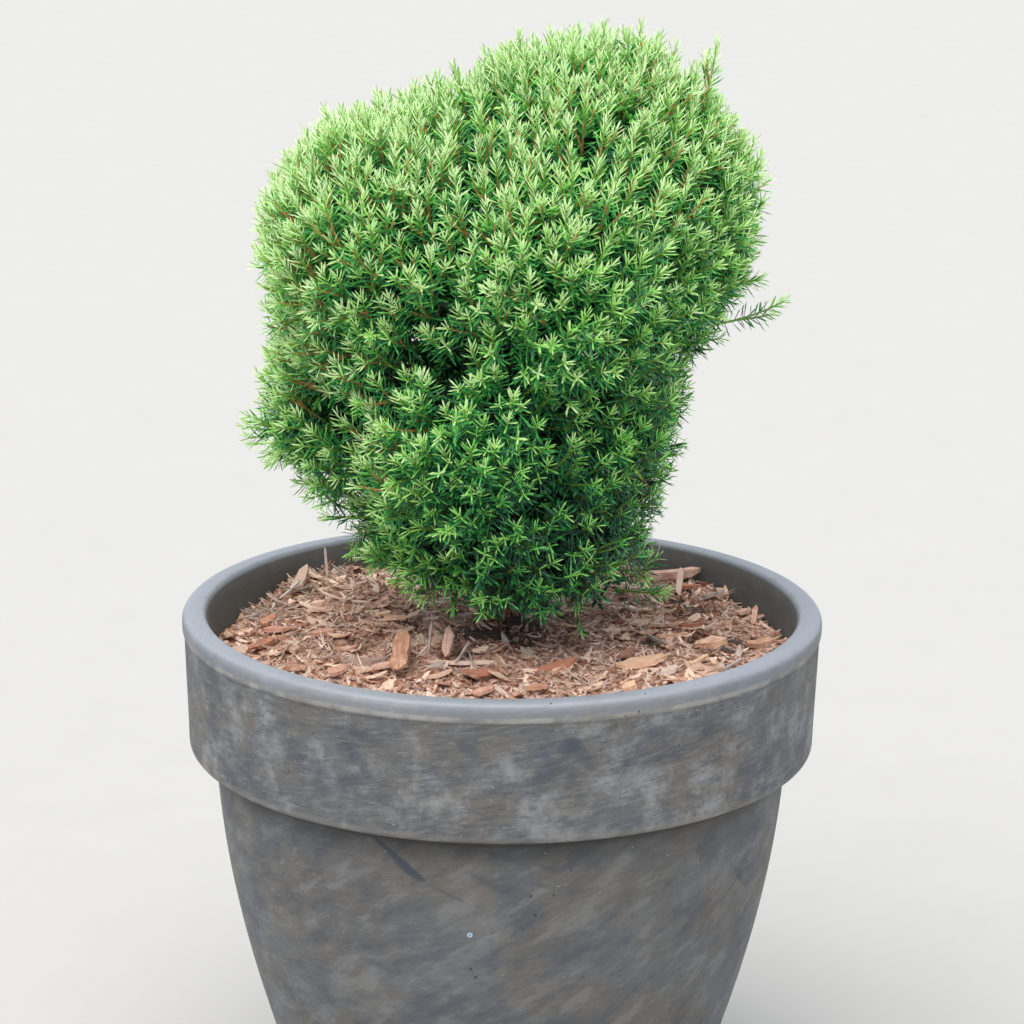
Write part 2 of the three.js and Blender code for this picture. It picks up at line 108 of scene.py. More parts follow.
# The floor: a wide sheet of pale, matt paper with a faint mottling. The pot stands on it, and
# it isn't part of the object.
FLOOR_HALF = 14000
FLOOR_DARK = (181, 178, 172)
FLOOR_PALE = (186, 183, 178)
FLOOR_MOTTLE = 60

MM = 0.001


def srgb(red, green, blue):
    """A colour that was read in the usual 0 to 255 scale, as the light that a node takes."""
    parts = [part / 255 for part in (red, green, blue)]
    return (*[p / 12.92 if p < 0.04045 else ((p + 0.055) / 1.055) ** 2.4 for p in parts], 1)


def socket_of(sockets, key):
    """The socket of a node by its number, or by its name among those in use."""
    if isinstance(key, int):
        return sockets[key]
    return next(socket for socket in sockets if socket.name == key and socket.enabled)


def add_node(tree, kind, inputs, **settings):
    """Adds a node. Its settings come first, because they decide which sockets are in use."""
    made = tree.nodes.new(kind)
    for name, value in settings.items():
        setattr(made, name, value)
    for key, value in inputs.items():
        socket = socket_of(made.inputs, key)
        if isinstance(value, Wire):
            value = value.socket
        if isinstance(value, bpy.types.NodeSocket):
            tree.links.new(value, socket)
        else:
            socket.default_value = value
    return made


class Wire:
    """A value in a node tree. Maths on wires and numbers adds Math nodes."""

    def __init__(self, tree, socket):
        self.tree = tree
        self.socket = socket

    def node(self, kind, inputs, output=None, **settings):
        made = add_node(self.tree, kind, inputs, **settings)
        found = next(socket for socket in made.outputs if socket.enabled)
        return Wire(self.tree, found if output is None else made.outputs[output])

    def maths(self, operation, *values):
        return self.node("ShaderNodeMath", dict(enumerate(values)), operation=operation)

    def __add__(self, other):
        return self.maths("ADD", self, other)

    def __radd__(self, other):
        return self.maths("ADD", other, self)

    def __sub__(self, other):
        return self.maths("SUBTRACT", self, other)

    def __rsub__(self, other):
        return self.maths("SUBTRACT", other, self)

    def __mul__(self, other):
        return self.maths("MULTIPLY", self, other)

    def __rmul__(self, other):
        return self.maths("MULTIPLY", other, self)

    def step(self, low, high):
        """Rises smoothly from 0 at low to 1 at high."""
        inputs = {"Value": self, "From Min": low, "From Max": high}
        return self.node("ShaderNodeMapRange", inputs, interpolation_type="SMOOTHSTEP")

    def mix(self, colour, other):
        """The first colour where this wire is 0, the other where it is 1."""
        inputs = {"Factor": self, "A": colour, "B": other}
        return self.node("ShaderNodeMix", inputs, data_type="RGBA")

    def stretch(self, x, y, z):
        """This wire as a vector, with each of its parts scaled."""
        return self.node("ShaderNodeVectorMath", {0: self, 1: (x, y, z)}, operation="MULTIPLY")

    def noise(self, size, detail=2, roughness=0.5):
        """Cloudy noise with lumps of a size in millimetres."""
        inputs = {"Vector": self, "Scale": 1 / (size * MM), "Detail": detail, "Roughness": roughness}
        return self.node("ShaderNodeTexNoise", inputs)

    def bump(self, depth):
        """A normal that follows this wire as a height of so many millimetres."""
        inputs = {"Height": self, "Distance": depth * MM, "Strength": 1.0}
        return self.node("ShaderNodeBump", inputs)


def make_material(name, varied=None, **constants):
    """A material. varied takes the object coordinates and returns what changes over the surface."""
    material = bpy.data.materials.new(name)
    material.use_nodes = True
    tree = material.node_tree
    shader = tree.nodes["Principled BSDF"]
    for key, value in constants.items():
        shader.inputs[key.replace("_", " ")].default_value = value
    if varied:
        place = Wire(tree, tree.nodes.new("ShaderNodeTexCoord").outputs["Object"])
        for key, wire in varied(place).items():
            tree.links.new(wire.socket, shader.inputs[key])
    return material


def add_piece(name, points, faces, materials, kinds=None, smooth=False, grain=None):
    """A mesh from points in millimetres and faces of one size. kinds numbers each face's
    material. grain is each point's place along and across the fibres of its own scrap."""
    points = np.asarray(points, np.float32).reshape(-1, 3) * MM
    faces = np.asarray(faces, np.int32)
    corners = faces.shape[1]
    mesh = bpy.data.meshes.new(name)
    mesh.vertices.add(len(points))
    mesh.vertices.foreach_set("co", points.ravel())
    mesh.loops.add(faces.size)
    mesh.loops.foreach_set("vertex_index", faces.ravel())
    mesh.polygons.add(len(faces))
    mesh.polygons.foreach_set("loop_start", np.arange(0, faces.size, corners, dtype=np.int32))
    for material in materials:
        mesh.materials.append(material)
    if kinds is not None:
        mesh.polygons.foreach_set("material_index", np.asarray(kinds, np.int32))
    mesh.polygons.foreach_set("use_smooth", np.full(len(faces), smooth))
    if grain is not None:
        layer = mesh.attributes.new("grain", "FLOAT_VECTOR", "POINT")
        layer.data.foreach_set("vector", (np.asarray(grain, np.float32) * MM).ravel())
    mesh.update(calc_edges=True)
    piece = bpy.data.objects.new(name, mesh)
    scene.collection.objects.link(piece)
    return piece


def floor_finish(place):
    return {"Base Color": place.noise(FLOOR_MOTTLE, 3).mix(srgb(*FLOOR_DARK), srgb(*FLOOR_PALE))}


floor_corners = [(-1, -1, 0), (1, -1, 0), (1, 1, 0), (-1, 1, 0)]
floor = add_piece(
    "floor",
    np.array(floor_corners) * FLOOR_HALF,
    [(0, 1, 2, 3)],
    [make_material("floor", floor_finish, Roughness=0.9)],
)


# Pot: clay, pressed in a mould with a deep collar and a rounded lip, fired dark grey and
# wiped with a thin slip that dried in bluish smears. A drain hole goes through its floor.
POT_HEIGHT = 268
RIM_RADIUS = 150
RIM_ROUND = 4
RIM_INNER_ROUND = 2
WALL = 11
LIP_DEPTH = 8.5
LIP_PROUD = 0.9
# The step under the lip: how far the wall stands back, as a share of how proud the lip is, and
# the height above the lip's foot.
LIP_STEP = ((0.9, -1.2), (0.5, -0.4), (0.15, 0.4), (0, 1.4))
COLLAR_DEPTH = 65
COLLAR_FOOT_RADIUS = 147.4
COLLAR_ROUND = 3.5
COLLAR_FLAT_FOOT = 6
COLLAR_FLAT_DEPTH = 10.4
COLLAR_STEPS = 10
UNDERCUT_ROUND = 2
BODY_TOP_RADIUS = 135
BASE_RADIUS = 87
BASE_ROUND = 2
BODY_BELLY = 8.8
BELLY_SKEW = 0.85
FLOOR_THICKNESS = 13
DRAIN_RADIUS = 12
POT_SEGMENTS = 192
WALL_STATIONS = 40
POT_OUT_OF_ROUND = 0.5
RIM_WARP_START = 2.2
# Each wave that takes the wall out of round: its count round the pot, its start and its share.
POT_WAVES = ((2, 0.4, 1.0), (3, 1.9, 0.5), (5, 4.1, 0.25))
CLAY_WARM = (104, 99, 92)
CLAY_GREY = (95, 97, 99)
CLAY_PALE = (138, 138, 138)
CLAY_SMEAR = (58, 65, 78)
CLAY_LINE = (160, 156, 150)
CLAY_LIP = (136, 139, 144)
CLAY_RIM_SHEEN = (144, 147, 154)
CLAY_EDGE_HIGHLIGHT = (144, 137, 124)
CLAY_INSIDE_SHADE = (88, 85, 80)
# The colour of the painted shade and shadow under the collar.
CLAY_PAINTED_SHADOW = (34, 29, 26)
CLAY_PORE = (62, 50, 42)
CLAY_SPECK = (205, 203, 196)
CLAY_GLAZE = (176, 200, 222)
# Each pattern in the slip: the slant of its strokes in degrees, how far they are squeezed along
# X, Y and Z, and the size, detail and roughness of their noise.
CLAY_PATTERNS = {
    "clouds": (0, (1, 1, 1), 46, 4, 0.6),
    "chalk": (0, (1, 1, 1), 20, 5, 0.7),
    "drifts": (0, (1, 1, 1), 32, 4, 0.6),
    "bands": (9, (0.6, 0.6, 1.2), 19, 4, 0.6),
    "scratches": (9, (0.24, 0.24, 1.5), 2.6, 4, 0.7),
    "dabs": (9, (0.5, 0.5, 1.3), 5.5, 5, 0.75),
    "wipes": (34, (0.45, 0.7, 1.4), 12, 4, 0.6),
}
CLOUD_EDGES = (0.35, 0.65)
# Each layer of slip: its pattern, the noise at which it starts and is whole, and its strength
# on the body and on the collar.
CHALK = ("chalk", (0.44, 0.68), 0.24, 0.94)
DRIFTS = ("drifts", (0.46, 0.68), 0.3, 0)
BANDS = ("bands", (0.46, 0.68), 0, 0.55)
SLIP_LAYERS = (
    (("dabs", (0.52, 0.66), 0.2, 0.46), CLAY_SMEAR),
    (("scratches", (0.54, 0.66), 0.16, 0.4), CLAY_SMEAR),
    (("scratches", (0.46, 0.34), 0.14, 0.36), CLAY_PALE),
    (("wipes", (0.5, 0.68), 0.42, 0), CLAY_SMEAR),
    (("wipes", (0.48, 0.34), 0.34, 0), CLAY_PALE),
)
# Rings round the pot. Each rises and falls between heights that are measured from the rim, or
# from the collar's foot.
LIP_RISE = (-8, -5.5)
LIP_STRENGTH = 0.6
LINE_RISE = (-9.4, -8)
LINE_FALL = (-7, -5.6)
LINE_STRENGTHS = (0.3, 0.85)
LINE_PATCH = 14
LINE_EDGES = (0.4, 0.6)
# Painted sheen: a paler blue-grey band on the rim's rounding, which is also polished smoother.
RIM_SHEEN_RISE = (-2.4, -0.5)
RIM_SHEEN_STRENGTHS = (0.9, 0.55)
RIM_SHEEN_EDGES = (0.5, 0.7)
# Painted highlight: a paler band along the rounding of the collar's foot.
EDGE_HIGHLIGHT_RISE = (0.6, 1.8)
EDGE_HIGHLIGHT_FALL = (2.2, 5)
EDGE_HIGHLIGHT_STRENGTH = 0.3
# Painted shade on the body under the collar's overhang, and a painted contact shadow just under the collar's
# foot.
SHADE_RISE = (-22, -3.5)
SHADE_STRENGTH = 0.55
CONTACT_SHADOW_RISE = (-6.8, -4.4)
CONTACT_SHADOW_FALL = (0.2, 1)
CONTACT_SHADOW_STRENGTH = 0.5
# Painted shade: the inner wall is coloured darker than the outside.
INSIDE_REACH = (2, 5)
INSIDE_SHADE_STRENGTH = 0.85
# Dots: the width of the cells that hold one each, how far each reaches in its cell, the size of
# the patches they gather in, and the noise at which a patch starts and is whole.
PORES = (7, (0.04, 0.075), 30, (0.5, 0.56))
PORE_STRENGTH = 0.8
PORE_DEPTH = 2
SPECKS = (5, (0.04, 0.07), 17, (0.54, 0.6))
SPECK_STRENGTH = 0.6
CLAY_GRAIN = 1.1
CLAY_LUMPS = 9
CLAY_RELIEF = 0.22
GRAIN_DEPTH = 0.5
SCRATCH_DEPTH = 0.6
CLAY_ROUGHNESS = 0.58
CLOUD_ROUGHNESS = 0.16
SMEAR_ROUGHNESS = 0.06
RIM_POLISH = 0.34
STROKE_DEPTH = 14
STROKE_EDGE = (1.2, 0.4)
STROKE_RAGGEDNESS = 1.5
# Each smear runs between two places on the wall, given by bearing and height. Its half width
# and its strength follow.
STROKES = (
    ((-117, 204), (-103, 178), 1.7, 0.85),
    ((-111, 190), (-104, 179), 2.5, 0.85),
    ((-104, 179), (-95.5, 169.5), 0.8, 0.4),
    ((-93.5, 196.5), (-85.5, 190), 1.6, 0.35),
    ((-83.5, 190), (-78.5, 185), 1.2, 0.3),
    ((-84, 181), (-78.5, 176), 1.4, 0.35),
    ((-97, 186.5), (-87.5, 175), 2.2, 0.3),
    ((-119.5, 136.5), (-109.5, 130), 2.6, 0.35),
    ((-118, 246), (-111, 228), 3.0, 0.45),
    ((-118, 251.5), (-108.5, 246), 3.0, 0.5),
    ((-98, 252), (-93, 242.5), 3.0, 0.45),
    ((-80, 256), (-74, 236), 3.6, 0.45),
    ((-94.5, 226.5), (-84.5, 232), 3.0, 0.35),
    ((-65, 250.5), (-60.5, 250.5), 3.6, 0.5),
    ((48, 196), (62, 176), 2.0, 0.6),
    ((150, 172), (164, 156), 1.8, 0.45),
    ((-36, 168), (-28, 150), 2.0, 0.4),
)
PITS = ((-84, 174), (-83, 164.5), (-95.5, 137), (-94.5, 133))
PIT_RADIUS = 0.8
SPOT_CORE = 0.6
CHIPPED_SPOT = (-95.6, 154.6)
CHIPPED_RADII = (1.5, 0.9)
CHIPPED_CORE = 0.6

COLLAR_FOOT = POT_HEIGHT - COLLAR_DEPTH


def lerp(low, high, share):
    return low + (high - low) * share


def body_radius(height):
    drop = max(0, 1 - height / COLLAR_FOOT)
    belly = BODY_BELLY * math.sin(math.pi * drop**BELLY_SKEW)
    return lerp(BODY_TOP_RADIUS, BASE_RADIUS, drop) + belly


def inner_radius(height):
    if height < COLLAR_FOOT:
        return body_radius(height) - WALL
    return lerp(BODY_TOP_RADIUS, RIM_RADIUS, (height - COLLAR_FOOT) / COLLAR_DEPTH) - WALL


def wall_place(bearing, height):
    """A place on the outer wall, by its bearing in degrees and its height."""
    radius = body_radius(height)
    if height > COLLAR_FOOT:
        radius = lerp(COLLAR_FOOT_RADIUS, RIM_RADIUS, (height - COLLAR_FOOT) / COLLAR_DEPTH)
    angle = math.radians(bearing)
    return Vector((radius * math.cos(angle), radius * math.sin(angle), height)) * MM


def arc(centre, radius, start, end, steps):
    """Points on a round corner of the profile, between two angles in degrees."""
    angles = [math.radians(lerp(start, end, i / steps)) for i in range(steps + 1)]
    return [(centre[0] + radius * math.cos(a), centre[1] + radius * math.sin(a)) for a in angles]


def straight(start, end, steps):
    """Points on a straight run of the profile, without its start."""
    shares = [i / steps for i in range(1, steps + 1)]
    return [(lerp(start[0], end[0], share), lerp(start[1], end[1], share)) for share in shares]


def revolve(profile, segments):
    """Turns a closed profile about the pot's axis, into rings of points and faces between them."""
    profile = np.array(profile)
    angles = np.arange(segments) * 2 * math.pi / segments
    radius, height = profile[:, :1], profile[:, 1:]
    points = np.stack([
        radius * np.cos(angles),
        radius * np.sin(angles),
        height * np.ones(segments),
    ], axis=-1)
    ring = np.arange(len(profile))[:, None] * segments
    next_ring = np.roll(np.arange(len(profile)), -1)[:, None] * segments
    here = np.arange(segments)
    there = np.roll(here, -1)
    faces = np.stack([ring + here, ring + there, next_ring + there, next_ring + here], axis=-1)
    return points, faces.reshape(-1, 4)


def settle(points):
    """Bends a turned shape slightly out of round, and leaves its foot flat."""
    bearing = np.arctan2(points[..., 1], points[..., 0])
    wave = sum(size * np.sin(count * bearing + start) for count, start, size in POT_WAVES)
    share = points[..., 2] / POT_HEIGHT
    grown = 1 + POT_OUT_OF_ROUND * wave * share / RIM_RADIUS
    bent = points * np.stack([grown, grown, np.ones_like(grown)], axis=-1)
    bent[..., 2] += POT_OUT_OF_ROUND * share * np.sin(2 * bearing + RIM_WARP_START)
    return bent


body_heights = np.linspace(BASE_ROUND, COLLAR_FOOT - UNDERCUT_ROUND, WALL_STATIONS)
inner_heights = np.linspace(
    POT_HEIGHT - RIM_INNER_ROUND, FLOOR_THICKNESS + BASE_ROUND, WALL_STATIONS,
)
base_corner = (BASE_RADIUS - BASE_ROUND, BASE_ROUND)
undercut = (body_radius(COLLAR_FOOT) + UNDERCUT_ROUND, COLLAR_FOOT - UNDERCUT_ROUND)
collar_corner = (COLLAR_FOOT_RADIUS - COLLAR_ROUND, COLLAR_FOOT + COLLAR_ROUND)
collar_low = (COLLAR_FOOT_RADIUS, COLLAR_FOOT + COLLAR_FLAT_FOOT)
collar_high = (RIM_RADIUS - LIP_PROUD, POT_HEIGHT - COLLAR_FLAT_DEPTH)
lip_foot = POT_HEIGHT - LIP_DEPTH
rim_corner = (RIM_RADIUS - RIM_ROUND, POT_HEIGHT - RIM_ROUND)
inner_corner = (RIM_RADIUS - WALL + RIM_INNER_ROUND, POT_HEIGHT - RIM_INNER_ROUND)
pot_profile = [
    (DRAIN_RADIUS, 0),
    *arc(base_corner, BASE_ROUND, -90, 0, 4)[:-1],
    *[(body_radius(height), height) for height in body_heights],
    *arc(undercut, UNDERCUT_ROUND, 180, 90, 4)[1:],
    *arc(collar_corner, COLLAR_ROUND, -90, 0, 6),
    *straight(collar_low, collar_high, COLLAR_STEPS),
    *[(RIM_RADIUS - LIP_PROUD * back, lip_foot + above) for back, above in LIP_STEP],
    *arc(rim_corner, RIM_ROUND, 0, 90, 8),
    *arc(inner_corner, RIM_INNER_ROUND, 90, 180, 5)[:-1],
    *[(inner_radius(height), height) for height in inner_heights],
    (inner_radius(FLOOR_THICKNESS) - BASE_ROUND, FLOOR_THICKNESS),
    (DRAIN_RADIUS, FLOOR_THICKNESS),
]


def stroke_on(place, start, end, half_width, rough):
    """A smear between two places of the wall: 1 in its middle, fading over a ragged edge."""
    start, end = wall_place(*start), wall_place(*end)
    middle = (start + end) / 2
    along = (end - start).normalized()
    across = along.cross(Vector((middle.x, middle.y, 0))).normalized()
    facing = Matrix((along, across.cross(along), across)).transposed().to_euler()
    settings = {
        "Vector": place, "Location": middle, "Rotation": facing,
        "Scale": ((end - start).length / 2, STROKE_DEPTH * MM, half_width * MM),
    }
    near = place.node("ShaderNodeMapping", settings, vector_type="TEXTURE")
    gap = near.node("ShaderNodeVectorMath", {0: near}, "Value", operation="LENGTH")
    return (gap + rough).step(*STROKE_EDGE)


def spot_on(place, bearing, height, radius):
    """A small round spot on the wall."""
    inputs = {0: place, 1: wall_place(bearing, height)}
    gap = place.node("ShaderNodeVectorMath", inputs, output="Value", operation="DISTANCE")
    return 1 - gap.step(radius * SPOT_CORE * MM, radius * MM)


def dots(place, cell, edges, patch, patch_edges):
    """Small round dots, one in each cell of those patches of the wall that have them."""
    inputs = {"Vector": place, "Scale": 1 / (cell * MM), "Randomness": 1.0}
    gap = place.node("ShaderNodeTexVoronoi", inputs, output="Distance")
    return (1 - gap.step(*edges)) * place.noise(patch, 2).step(*patch_edges)


def clay_finish(place):
    height = place.node("ShaderNodeSeparateXYZ", {0: place}, output="Z")
    flat = place.stretch(1, 1, 0)
    across = flat.node("ShaderNodeVectorMath", {0: flat}, "Value", operation="LENGTH")
    patterns = {}
    for name, (slant, squeeze, size, detail, roughness) in CLAY_PATTERNS.items():
        inputs = {"Vector": place, "Angle": math.radians(slant)}
        slanted = place.node("ShaderNodeVectorRotate", inputs, rotation_type="Y_AXIS")
        patterns[name] = slanted.stretch(*squeeze).noise(size, detail, roughness)
    dabs = patterns["dabs"]

    def above(low, high, level=POT_HEIGHT):
        """Rises from 0 to 1 between two heights, measured from the rim or from another level."""
        return height.step((level + low) * MM, (level + high) * MM)

    def slip(pattern, edges, on_body, on_collar):
        """How much slip lies where a pattern is high, on the body and on the collar."""
        return patterns[pattern].step(*edges) * lerp(on_body, on_collar, collar)

    collar = above(-1, 1, COLLAR_FOOT)
    # inside is the inner wall above the collar's foot, painted darker as shade.
    inside_from, inside_to = ((RIM_RADIUS - WALL + reach) * MM for reach in INSIDE_REACH)
    inside = collar * (1 - across.step(inside_from, inside_to))
    smear = slip(*DRIFTS) + slip(*BANDS)
    colour = patterns["clouds"].step(*CLOUD_EDGES).mix(srgb(*CLAY_GREY), srgb(*CLAY_WARM))
    colour = slip(*CHALK).mix(colour, srgb(*CLAY_PALE))
    colour = smear.mix(colour, srgb(*CLAY_SMEAR))
    for layer, tone in SLIP_LAYERS:
        colour = slip(*layer).mix(colour, srgb(*tone))
    rough = (dabs - 0.5) * STROKE_RAGGEDNESS
    for start, end, half_width, strength in STROKES:
        stroke = stroke_on(place, start, end, half_width, rough)
        colour = (stroke * strength).mix(colour, srgb(*CLAY_SMEAR))

    lip = above(*LIP_RISE) * (1 - inside)
    line = (above(*LINE_RISE) - above(*LINE_FALL)) * (1 - inside)
    line_strength = lerp(*LINE_STRENGTHS, place.noise(LINE_PATCH, 3).step(*LINE_EDGES))
    # rim marks the rim's rounding: painted sheen in its colour, and real polish in its roughness.
    rim = above(*RIM_SHEEN_RISE)
    rim_sheen_strength = lerp(*RIM_SHEEN_STRENGTHS, dabs.step(*RIM_SHEEN_EDGES))
    # Painted highlight on the rounding of the collar's foot.
    edge = above(*EDGE_HIGHLIGHT_RISE, COLLAR_FOOT) - above(*EDGE_HIGHLIGHT_FALL, COLLAR_FOOT)
    # Painted shade under the collar, and a darker painted shadow line at its foot.
    shade = above(*SHADE_RISE, COLLAR_FOOT) * (1 - collar)
    contact_shadow = above(*CONTACT_SHADOW_RISE, COLLAR_FOOT) * (1 - above(*CONTACT_SHADOW_FALL, COLLAR_FOOT))
    pore = dots(place, *PORES)
    for bearing, pit_height in PITS:
        pore = pore.maths("MAXIMUM", pore, spot_on(place, bearing, pit_height, PIT_RADIUS))
    chipped, chipped_core = (spot_on(place, *CHIPPED_SPOT, radius) for radius in CHIPPED_RADII)
    marks = (
        (inside * INSIDE_SHADE_STRENGTH, CLAY_INSIDE_SHADE),
        (lip * LIP_STRENGTH, CLAY_LIP),
        (line * line_strength, CLAY_LINE),
        (rim * rim_sheen_strength, CLAY_RIM_SHEEN),
        (edge * EDGE_HIGHLIGHT_STRENGTH, CLAY_EDGE_HIGHLIGHT),
        (shade * shade * SHADE_STRENGTH, CLAY_PAINTED_SHADOW),
        (contact_shadow * CONTACT_SHADOW_STRENGTH, CLAY_PAINTED_SHADOW),
        (pore * PORE_STRENGTH, CLAY_PORE),
        (dots(place, *SPECKS) * SPECK_STRENGTH, CLAY_SPECK),
        (chipped - chipped_core * CHIPPED_CORE, CLAY_GLAZE),
    )
    for share, tone in marks:
        colour = share.mix(colour, srgb(*tone))

    relief = place.noise(CLAY_GRAIN, 3, 0.6) * GRAIN_DEPTH + place.noise(CLAY_LUMPS, 3)
    relief = relief - pore * PORE_DEPTH + patterns["scratches"] * SCRATCH_DEPTH
    roughness = CLAY_ROUGHNESS + CLOUD_ROUGHNESS * patterns["clouds"]
    roughness = roughness - rim * RIM_POLISH + smear * SMEAR_ROUGHNESS
    return {"Base Color": colour, "Roughness": roughness, "Normal": relief.bump(CLAY_RELIEF)}


pot_points, pot_faces = revolve(pot_profile, POT_SEGMENTS)
pot = add_piece(
    "clay_pot",
    settle(pot_points),
    pot_faces,
    [make_material("clay", clay_finish)],
    smooth=True,
)
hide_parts("pot")
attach(pot, "root")


# Potting soil: damp peat and fine bark that fills the pot, hidden under the mulch. It keeps
# the solid's shape.
SOIL_DARK = (44, 35, 29)
SOIL_PALE = (104, 84, 68)
SOIL_CRUMB = 3
SOIL_EDGES = (0.35, 0.7)
SOIL_RELIEF = 2.5


def soil_finish(place):
    crumbs = place.noise(SOIL_CRUMB, 4, 0.7)
    return {
        "Base Color": crumbs.step(*SOIL_EDGES).mix(srgb(*SOIL_DARK), srgb(*SOIL_PALE)),
        "Normal": crumbs.bump(SOIL_RELIEF),
    }


soil_material = make_material("soil", soil_finish, Roughness=0.95)
soil = frame["nodes"]["potting_soil"]
soil.data.materials.clear()
soil.data.materials.append(soil_material)


# Mulch bed: fine bark and dark crumbs of soil, heaped a little towards the plant. It is one
# closed layer on the potting soil, under the loose shreds.
SOIL_DEPTH = 34
BARK_CENTRE_DEPTH = 10
BARK_EDGE_DEPTH = 20
BARK_LUMPS = 1.1
# The lengths of the lumps' waves along X, along Y and aslant, and the share of the last.
LUMP_LENGTHS = (11, 9, 17)
ASLANT_SHARE = 0.6
BED_RINGS = 88
BED_SEGMENTS = 260
BED_SINK = 1.6
BED_MIDDLE = 0.01
BED_CLEARANCE = 0.6
BED_FOOT_CLEARANCE = 0.4
CLOD_HEIGHT = 3.4
CRUMB_HEIGHT = 1.5
CLOD_SIZE = 15
CRUMB_SIZE = 4
BED_DARK = (84, 70, 62)
BED_RED = (148, 102, 80)
BED_PALE = (222, 184, 160)
BED_CRUMB = 2.2
BED_GRAIN = 0.9
BED_RELIEF = 1.2
BED_EDGES = (0.4, 0.66)
OPEN_EDGES = (0.4, 0.75)
OPEN_STRENGTH = 0.85
# Each heap of bark: its place, its spread and its height.
BED_HEAPS = (((-80, 86), 42, 5), ((86, 88), 38, 4), ((3, -4), 24, 6))
# Each patch of open soil: its place and its radius.
SOIL_PATCHES = (((100, -4), 21), ((-75, -22), 11), ((2, -16), 24), ((-14, -40), 9), ((94, 48), 18))
SOIL_FADE = 6
SOIL_RAGGEDNESS = 7
SOIL_RAGGED_SIZE = 7
STRAY_SOIL = 3.4
STRAY_SIZE = 13
STRAY_LEVEL = 1.2


def bark_depth(x, y):
    """Depth of the bark's surface below the rim, domed towards the plant, and lumpy."""
    share = np.hypot(x, y) / RIM_RADIUS
    along_x, along_y, aslant = LUMP_LENGTHS
    lumps = np.sin(x / along_x + 1) * np.cos(y / along_y)
    lumps = lumps + ASLANT_SHARE * np.sin((x - y) / aslant)
    return lerp(BARK_CENTRE_DEPTH, BARK_EDGE_DEPTH, share**2) - BARK_LUMPS * lumps


def bed_height(x, y):
    """Height of the bed at one place, with its clods and crumbs."""
    clods = noise.fractal(Vector((x, y, 3)) / CLOD_SIZE, 1.0, 2.0, 2)
    crumbs = noise.noise(Vector((x, y, 9)) / CRUMB_SIZE)
    heaps = sum(
        height * math.exp(-((x - centre[0]) ** 2 + (y - centre[1]) ** 2) / spread**2)
        for centre, spread, height in BED_HEAPS
    )
    level = POT_HEIGHT - bark_depth(x, y) - BED_SINK
    return level + CLOD_HEIGHT * clods + CRUMB_HEIGHT * crumbs + heaps


def open_soil(x, y):
    """1 where dark soil lies open among the bark, 0 where bark covers it."""
    ragged = SOIL_RAGGEDNESS * noise.noise(Vector((x, y, 5)) / SOIL_RAGGED_SIZE)
    stray = STRAY_SOIL * noise.noise(Vector((x, y, 30)) / STRAY_SIZE) - STRAY_LEVEL
    reaches = [
        radius + ragged - math.hypot(x - centre[0], y - centre[1])
        for centre, radius in SOIL_PATCHES
    ]
    return min(1, max(0, stray, max(reaches) / SOIL_FADE))


bed_edge = inner_radius(POT_HEIGHT - BARK_EDGE_DEPTH) - BED_CLEARANCE
bed_foot = POT_HEIGHT - SOIL_DEPTH
bed_profile = [(BED_MIDDLE, bed_foot), (inner_radius(bed_foot) - BED_FOOT_CLEARANCE, bed_foot)]
bed_profile += [
    (lerp(BED_MIDDLE, bed_edge, i / BED_RINGS), POT_HEIGHT) for i in range(BED_RINGS, -1, -1)
]
bed_points, bed_faces = revolve(bed_profile, BED_SEGMENTS)
for ring_points in bed_points[2:]:
    for point in ring_points:
        point[2] = bed_height(point[0], point[1])


def bed_finish(place):
    soil = place.node("ShaderNodeAttribute", {}, output="Fac", attribute_name="soil")
    crumbs = place.noise(BED_CRUMB, 3, 0.7)
    bark = crumbs.step(*BED_EDGES).mix(srgb(*BED_RED), srgb(*BED_PALE))
    dark = crumbs.step(*OPEN_EDGES).mix(srgb(*SOIL_DARK), srgb(*BED_DARK))
    return {
        "Base Color": (soil * OPEN_STRENGTH).mix(bark, dark),
        "Normal": (crumbs + place.noise(BED_GRAIN, 2)).bump(BED_RELIEF),
    }


mulch_bed = add_piece(
    "mulch_bed",
    bed_points,
    bed_faces,
    [make_material("mulch_bed", bed_finish, Roughness=0.93)],
    smooth=True,
)
soil_shares = [open_soil(x, y) for x, y, _ in bed_points.reshape(-1, 3)]
mulch_bed.data.attributes.new("soil", "FLOAT", "POINT").data.foreach_set("value", soil_shares)
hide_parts("bark_mulch")
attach(mulch_bed, "root")


# Loose mulch: torn bark in every size from crumbs to long fibres, red-brown to pale tan and
# weathered grey, strewn over the bed at random and lying any way up.
SCATTER_SHAPES = 5
TORN_TAPER = 0.3
TORN_SLANT = 0.28
TORN_END = 0.9
TORN_TOP = 0.85
TORN_THINNEST = 0.4
TORN_UNEVENNESS = 0.3
CLUMP_EDGES = (0.36, 0.62)
LEVEL_EDGES = (0.2, 0.3)
SLIMNESS = (0.7, 1.2)
BARK_RED = (170, 106, 78)
BARK_GREY = (172, 162, 154)
# A scrap's shade is dealt out by its tint, and then by the fibres and patches on it. Its tint
# times a whole number, without the whole part, deals out redness and greyness too.
SHADE_BASE = 0.31
SHADE_BY_TINT = 0.75
SHADE_BY_FIBRE = 1.4
SHADE_BY_PATCH = 1.0
RED_DEAL = 7
RED_STRENGTH = 0.65
GREY_DEAL = 23
GREY_EDGES = (0.7, 0.9)
GREY_STRENGTH = 0.45
FIBRE_SIZE = 0.6
FIBRE_SQUEEZE = 0.12
PATCH_SIZE = 4.5
BARK_RELIEF = 0.4
STRIP_SIZES = ("stations", "length", "width", "thick", "ragged", "bend")
